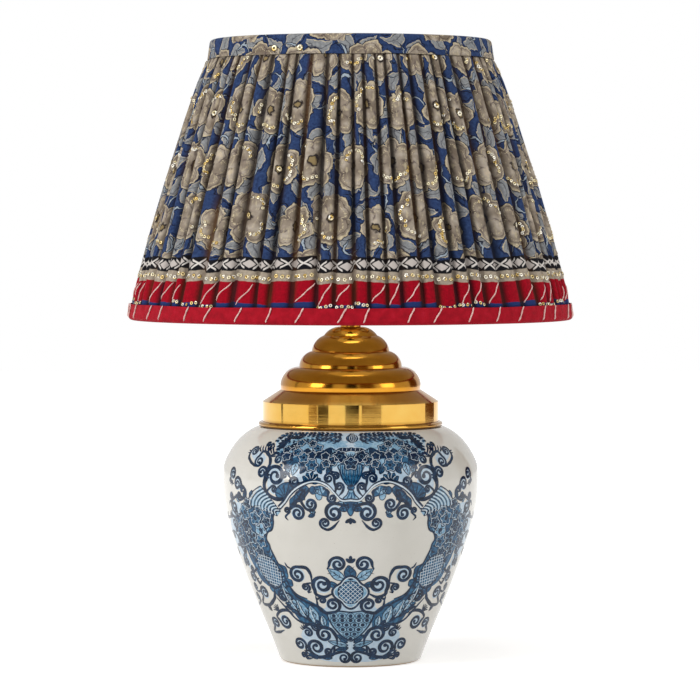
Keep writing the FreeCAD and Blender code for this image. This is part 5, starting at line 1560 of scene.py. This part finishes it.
# %% Painting the scrolls
SCROLLS = (
    # right, down, radius, hand, tail, comb: under the arches and beside the vase
    (281, 602, 42, 1, ((226, 480), (262, 520), (306, 552), (322, 580)), 0),
    (213, 554, 36, -1, ((236, 470), (262, 500), (262, 540)), 0),
    (88, 600, 50, -1, ((10, 556), (30, 560)), 0), (136, 655, 30, 1, ((60, 640), (92, 676), (120, 690)), 0),
    (98, 523, 24, -1, ((150, 470), (120, 484)), 0),
    (116, 416, 29, -1, ((88, 508), (78, 470), (86, 440)), 0), (80, 404, 19, 1, ((106, 358), (102, 380)), 0),
    (60, 461, 23, -1, ((66, 514), (44, 488)), 0), (298, 434, 30, 1, ((244, 440), (272, 466)), 0),
    (338, 586, 18, -1, ((330, 640), (345, 620)), 0),
    # on the shoulder
    (400, 404, 60, 1, ((318, 504), (352, 524), (395, 526), (436, 502), (458, 460)), 0),
    (408, 474, 20, 1, ((436, 500), (440, 480)), 0), (382, 316, 28, -1, ((342, 392), (346, 340)), 0),
    (484, 326, 34, -1, ((466, 440), (450, 386), (426, 334), (430, 294), (458, 272)), 0),
    (506, 272, 30, 1, ((500, 352), (526, 330), (538, 300)), 2),
    (470, 384, 34, -1, ((458, 450), (440, 410)), 2),
    # down the sides
    (600, 444, 40, -1, ((560, 540), (556, 490), (568, 462)), 2),
    (622, 390, 36, 1, ((618, 446), (640, 424)), 3),
    (616, 566, 40, -1, ((560, 520), (600, 510)), 2), (612, 652, 38, 1, ((650, 590), (648, 620)), 3),
    (584, 732, 36, -1, ((622, 690), (612, 700)), 0), (566, 792, 32, 1, ((596, 760), (596, 772)), 3),
    (590, 508, 24, 1, ((560, 540), (566, 524)), 0), (632, 510, 24, -1, ((640, 560), (640, 540)), 2),
    (616, 716, 22, 1, ((628, 690), (626, 700)), 0), (548, 856, 26, -1, ((560, 810), (566, 830)), 2),
    # round the lower panel
    (281, 930, 48, -1, ((206, 972), (212, 930), (236, 894)), 0),
    (150, 984, 55, 1, ((96, 1030), (140, 1048), (182, 1034)), 0),
    (238, 996, 24, -1, ((206, 1020), (226, 1024)), 0),
    (94, 1090, 44, -1, ((182, 1050), (170, 1104), (132, 1132)), 0),
    (455, 1024, 40, 1, ((404, 1004), (402, 1050), (424, 1086), (462, 1082)), 0),
    (490, 1044, 26, -1, ((484, 1090), (476, 1066)), 0), (514, 940, 34, -1, ((470, 960), (482, 975)), 2),
    (68, 874, 44, 1, ((126, 900), (116, 884)), 0), (150, 1066, 20, 1, ((186, 1040), (180, 1060)), 0),
    (502, 990, 24, 1, ((470, 1010), (486, 1018)), 0),
    # the foot of the design
    (345, 1176, 44, -1, ((298, 1156), (326, 1122), (368, 1120), (390, 1148)), 0),
    (394, 1184, 35, 1, ((350, 1224), (376, 1234), (402, 1230)), 0),
    (182, 1208, 24, -1, ((240, 1190), (214, 1190)), 0),
    (226, 1236, 28, 1, ((180, 1184), (228, 1196), (252, 1216)), 3),
    (138, 1248, 50, -1, ((70, 1300), (76, 1260)), 0),
    (182, 1316, 52, 1, ((90, 1310), (118, 1356), (160, 1370)), 0),
    (266, 1298, 38, -1, ((230, 1350), (236, 1316)), 3), (114, 1340, 28, 1, ((60, 1310), (84, 1310)), 0),
    (34, 1372, 36, 1, ((250, 1356), (150, 1366), (84, 1350)), 0),
    (246, 1356, 18, -1, ((196, 1372), (230, 1376)), 3),
)
for right, down, radius, hand, tail, comb in SCROLLS:
    curl(right, down, radius, hand, tail, comb)
for right, down, radius, hand in (
        (604, 600, 24, 1), (580, 770, 22, -1), (520, 896, 22, 1), (430, 232, 17, 1), (352, 400, 20, -1)):
    tail = ((right - 1.7 * radius, down + 1.1 * radius), (right - 1.2 * radius, down))
    curl(right, down, radius, hand, tail, 2)
for points, width in (
        (((318, 896), (336, 886), (350, 864)), 10), (((202, 972), (238, 978), (250, 990), (246, 1010)), 10),
        (((448, 392), (427, 338), (430, 296), (458, 270)), 19), (((500, 354), (528, 330), (540, 298)), 14),
        (((318, 504), (352, 524), (395, 526), (436, 502)), 19),
        (((402, 1018), (404, 1056), (430, 1090), (462, 1082)), 20),
        (((298, 1156), (326, 1124), (368, 1120), (388, 1140)), 15),
        (((566, 470), (556, 500), (560, 540)), 14)):
    stroke("dark", places(points), width)
for x, y, reach, tilts, width in (
        (430, 300, 48, (172, 154, 136), 8), (444, 280, 50, (124, 108, 92), 8),
        (428, 1092, 34, (-100, -80, -60, -40), 8), (380, 1124, 44, (96, 74, 52, 30, 8), 8),
        (590, 470, 34, (150, 120, 90), 7)):
    fan("dark", x, y, reach, tilts, width, 0.1)
for x in range(402, 473, 14):
    line = [(x + 2, 288 - 0.2 * (x - 402)), (x + 7, 262), (x + 1, 236 + 0.1 * (x - 402))]
    stroke("dark", places(line), 9, 0.5, 0.25)
print(len(SCROLLS), "large scrolls painted, each on both sides")

# %% [markdown]
# At each shoulder a ribbed horn points down to the panel. It is drawn as ten curved bows that shrink along
# a line from its mouth to its tip, with a white line between each two. Out of it, flowers and leaves hang
# down the side.

# %% Painting the horns and the garlands
horn_mouth, horn_tip = np.array((512.0, 506.0)), np.array((380.0, 604.0))
horn = []
for share in np.linspace(0, 1, 10):
    heart = horn_mouth + (horn_tip - horn_mouth) * share
    half = np.array((0.565, 0.82)) * (60 - 46 * share)
    horn.append((heart - half, heart - 0.3 * half + (13, -9), heart + 0.4 * half + (13, -9), heart + half))
rims = [bow[0] for bow in horn], [bow[3] for bow in horn]
swath("pale", *rims)
for bow in horn:
    stroke("dark", places(bow), 6.5, *EVEN)
for bow, after in zip(horn, horn[1:]):
    stroke("white", places([(a + b) / 2 for a, b in zip(bow, after)]), 5, *EVEN)
for rim in rims:
    stroke("dark", places(rim), 7, *EVEN)
for x, y, size, petals, tilt in (
        (562, 596, 42, 5, 0), (506, 628, 42, 5, 30), (554, 668, 44, 6, 10), (478, 690, 40, 5, 50),
        (526, 724, 44, 5, 20), (476, 752, 36, 5, 0), (526, 790, 38, 5, 30), (448, 648, 32, 5, 0),
        (596, 628, 30, 5, 0), (548, 552, 32, 5, 0), (584, 696, 30, 5, 0), (444, 604, 30, 5, 20),
        (490, 590, 30, 5, 50), (566, 750, 30, 5, 0), (480, 806, 32, 5, 10)):
    bloom(x, y, size, petals, tilt, petal_layer=("blue", "pale", "dark")[size * 7 % 3])
for x, y, length, tilt, wide, layer in (
        (560, 530, 56, 80, 26, "blue"), (590, 540, 50, 40, 24, "pale"), (534, 520, 46, 110, 24, "blue"),
        (580, 490, 46, 96, 22, "blue"), (520, 815, 60, -110, 32, "blue"), (560, 800, 54, -70, 26, "pale"),
        (470, 806, 50, -120, 30, "blue"), (438, 822, 46, -60, 26, "pale"), (600, 676, 46, -40, 24, "blue"),
        (566, 840, 46, -100, 24, "blue"), (600, 780, 46, -90, 22, "blue")):
    leaf(x, y, length, tilt, wide, layer)
print("a horn of", len(horn), "bows at each shoulder")

# %% [markdown]
# Lower down, the swath round the panel holds a trellis and a row of long leaves. Under the panel stand a
# lobed trellis with leaves above it and a basket of small round fruits, where the two sides of the design
# meet.

# %% Painting the trellises, the long leaves and the basket
trellis(432, 904, 74, 100, -34, 17)
stroke("dark", places([(366, 990), (404, 1000), (440, 962), (478, 900), (500, 850), (478, 815)]),
       12, 0.4, 0.4)
for x, y, length, tilt, wide in (
        (312, 1080, 112, 66, 40), (272, 1126, 108, 57, 52), (224, 1164, 120, 62, 62),
        (176, 1192, 112, 71, 58), (136, 1206, 66, 78, 34)):
    leaf(x, y, length, tilt, wide, "pale", 3)
    light = turned_by(tilt + 4, (6, 0.5 * length, 0.86 * length), (-7, -6, 4))
    stroke("white", beside(seen_at(x + 4, y - 6), light), 5)
    fan("dark", x + 20, y - 4, 0.66 * length, (tilt - 20, tilt - 38), 12)
curl(358, 1044, 38, -1, ((320, 1096), (310, 1050)), fill="pale")
stroke("dark", places([(320, 1000), (286, 1044), (226, 1078), (150, 1110)]), 14, 0.4, 0.4)
stroke("dark", places([(392, 1050), (336, 1112), (272, 1176), (150, 1212)]), 13, 0.4, 0.4)
leaf(0, 958, 84, 90, 60, "blue", 3, both=False)
leaf(30, 955, 104, 28, 50, "pale", 3)
leaf(70, 985, 70, 4, 32)
lobed = oval(seen_at(0, 1024), 84, 84, 0, 40, 4, 0.13)
pool("pale", lobed, both=False)
trellis(0, 1024, 64, 64, 0, 17, both=False)
stroke("dark", closed(lobed), 13, *EVEN, both=False)
stroke("white", closed(oval(seen_at(0, 1024), 76, 76, 0, 40, 4, 0.13)), 5, *EVEN, both=False)
middle_of_basket = seen_at(0, 1192)
half_basket = [(0, 70), (60, 76), (112, 66), (112, 30), (96, -10), (70, -48), (38, -80), (0, -96)]
basket = beside(middle_of_basket, [(-x, y) for x, y in half_basket[2:0:-1]] + half_basket
                + [(-x, y) for x, y in half_basket[-2:2:-1]])
pool("pale", basket, both=False)
for row, fruits in enumerate((5, 5, 4, 3, 2, 1)):
    for column in range(fruits):
        spot = beside(middle_of_basket, ((column - (fruits - 1) / 2) * 42, 48 - row * 27))
        stroke("dark", closed(oval(spot, 20, 17, 0, 12)), 3.6, *EVEN, both=False)
        pool("dark", oval(spot, 11, 11, 0, 8), both=False)
stroke("dark", closed(basket), 9, *EVEN, both=False)
for x, y, length, tilt, wide, layer in (
        (14, 1306, 104, 6, 34, "pale"), (12, 1318, 76, -20, 26, "blue"), (16, 1292, 70, 36, 26, "blue"),
        (96, 1372, 70, -4, 22, "blue"), (170, 1376, 60, 20, 20, "blue"), (10, 568, 54, -24, 34, "blue"),
        (14, 556, 56, 4, 26, "pale"), (186, 600, 44, 20, 24, "pale"), (190, 606, 40, -30, 20, "blue")):
    leaf(x, y, length, tilt, wide, layer)
tongue = beside(seen_at(0, 572), [(-34, 34), (34, 34), (24, 0), (0, -44), (-24, 0)])
outlined("blue", tongue, 6, both=False)
for x, y, tilt in ((0, 628, 270), (0, 634, 215), (0, 634, 325), (0, 860, 90), (0, 866, 45), (0, 866, 135)):
    spot = beside(seen_at(x, y), turned_by(tilt, 16, 0))
    pool("dark", oval(spot, 18, 10, tilt, 10), both=False)
print("painted,", sum(len(lots) for lots in painted.values()), "pieces of brushwork in all")

# %% [markdown]
# Cobalt fires to blue in the glaze, from nearly black where the brush left much to a watery blue where it
# left little. So every layer of colour has three tones, laid by a noise as the pigment pools and thins. The
# white lines are places that the brush spared. The skins share the glaze's waviness, so that highlights run
# over them.

# %% The cobalt's blues, and the painted pieces
SKIN_SPECULAR = 0.3
COBALTS = {
    # finish: three colours, from pooled to thin, and the layers painted with it
    "cobalt_wash": ("#b2cbdf", "#c0d4e4", "#cfdee9", ("wash",)),
    "cobalt_pale": ("#6f9fc0", "#8ab3cf", "#a8c9dd", ("pale",)),
    "cobalt_middle": ("#0f3a5f", "#1d5379", "#3a779e", ("ground", "blue")),
    "cobalt_dark": ("#051a30", "#0a2744", "#15395c", ("dark",)),
    "reserved_white": ("#c6d6e2", "#d3e0e8", "#dde6ea", ("white",)),
}
for finish, (pooled, even, thin, layers) in COBALTS.items():
    tree = new_finish(finish)
    place = put(tree, "TexCoord").outputs["Object"]
    brush = put(tree, "TexNoise", place, Scale=170.0, Detail=5.0, Distortion=1.4)
    colour = put(tree, "ValToRGB", brush, stops=((0.34, pooled), (0.5, even), (0.66, thin)))
    wavy = put(tree, "TexNoise", place, Scale=34.0, Detail=2.0)
    skin = put(tree, "Bump", Height=wavy, Strength=0.35, Distance=0.9 * MM)
    sheen = put(tree, "MapRange", brush, 0.3, 0.7, 0.07, 0.14)
    put(tree, "OutputMaterial", put(tree, "BsdfPrincipled", colour, Roughness=sheen, IOR=1.52, Normal=skin,
                                    Specular_IOR_Level=SKIN_SPECULAR))
    for layer in layers:
        settled(new_piece("painted_" + layer, *joined(painted[layer]), finish), "base", "glaze")

# %% [markdown]
# Last, the dressed lamp is measured, and its size is printed in millimetres. Only the folds of the
# cloth and the skins of paint stand out past the solids.

# %% Sizes, and the end
low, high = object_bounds()
print("the dressed lamp is", [round(1000 * (b - a)) for a, b in zip(low, high)], "mm")
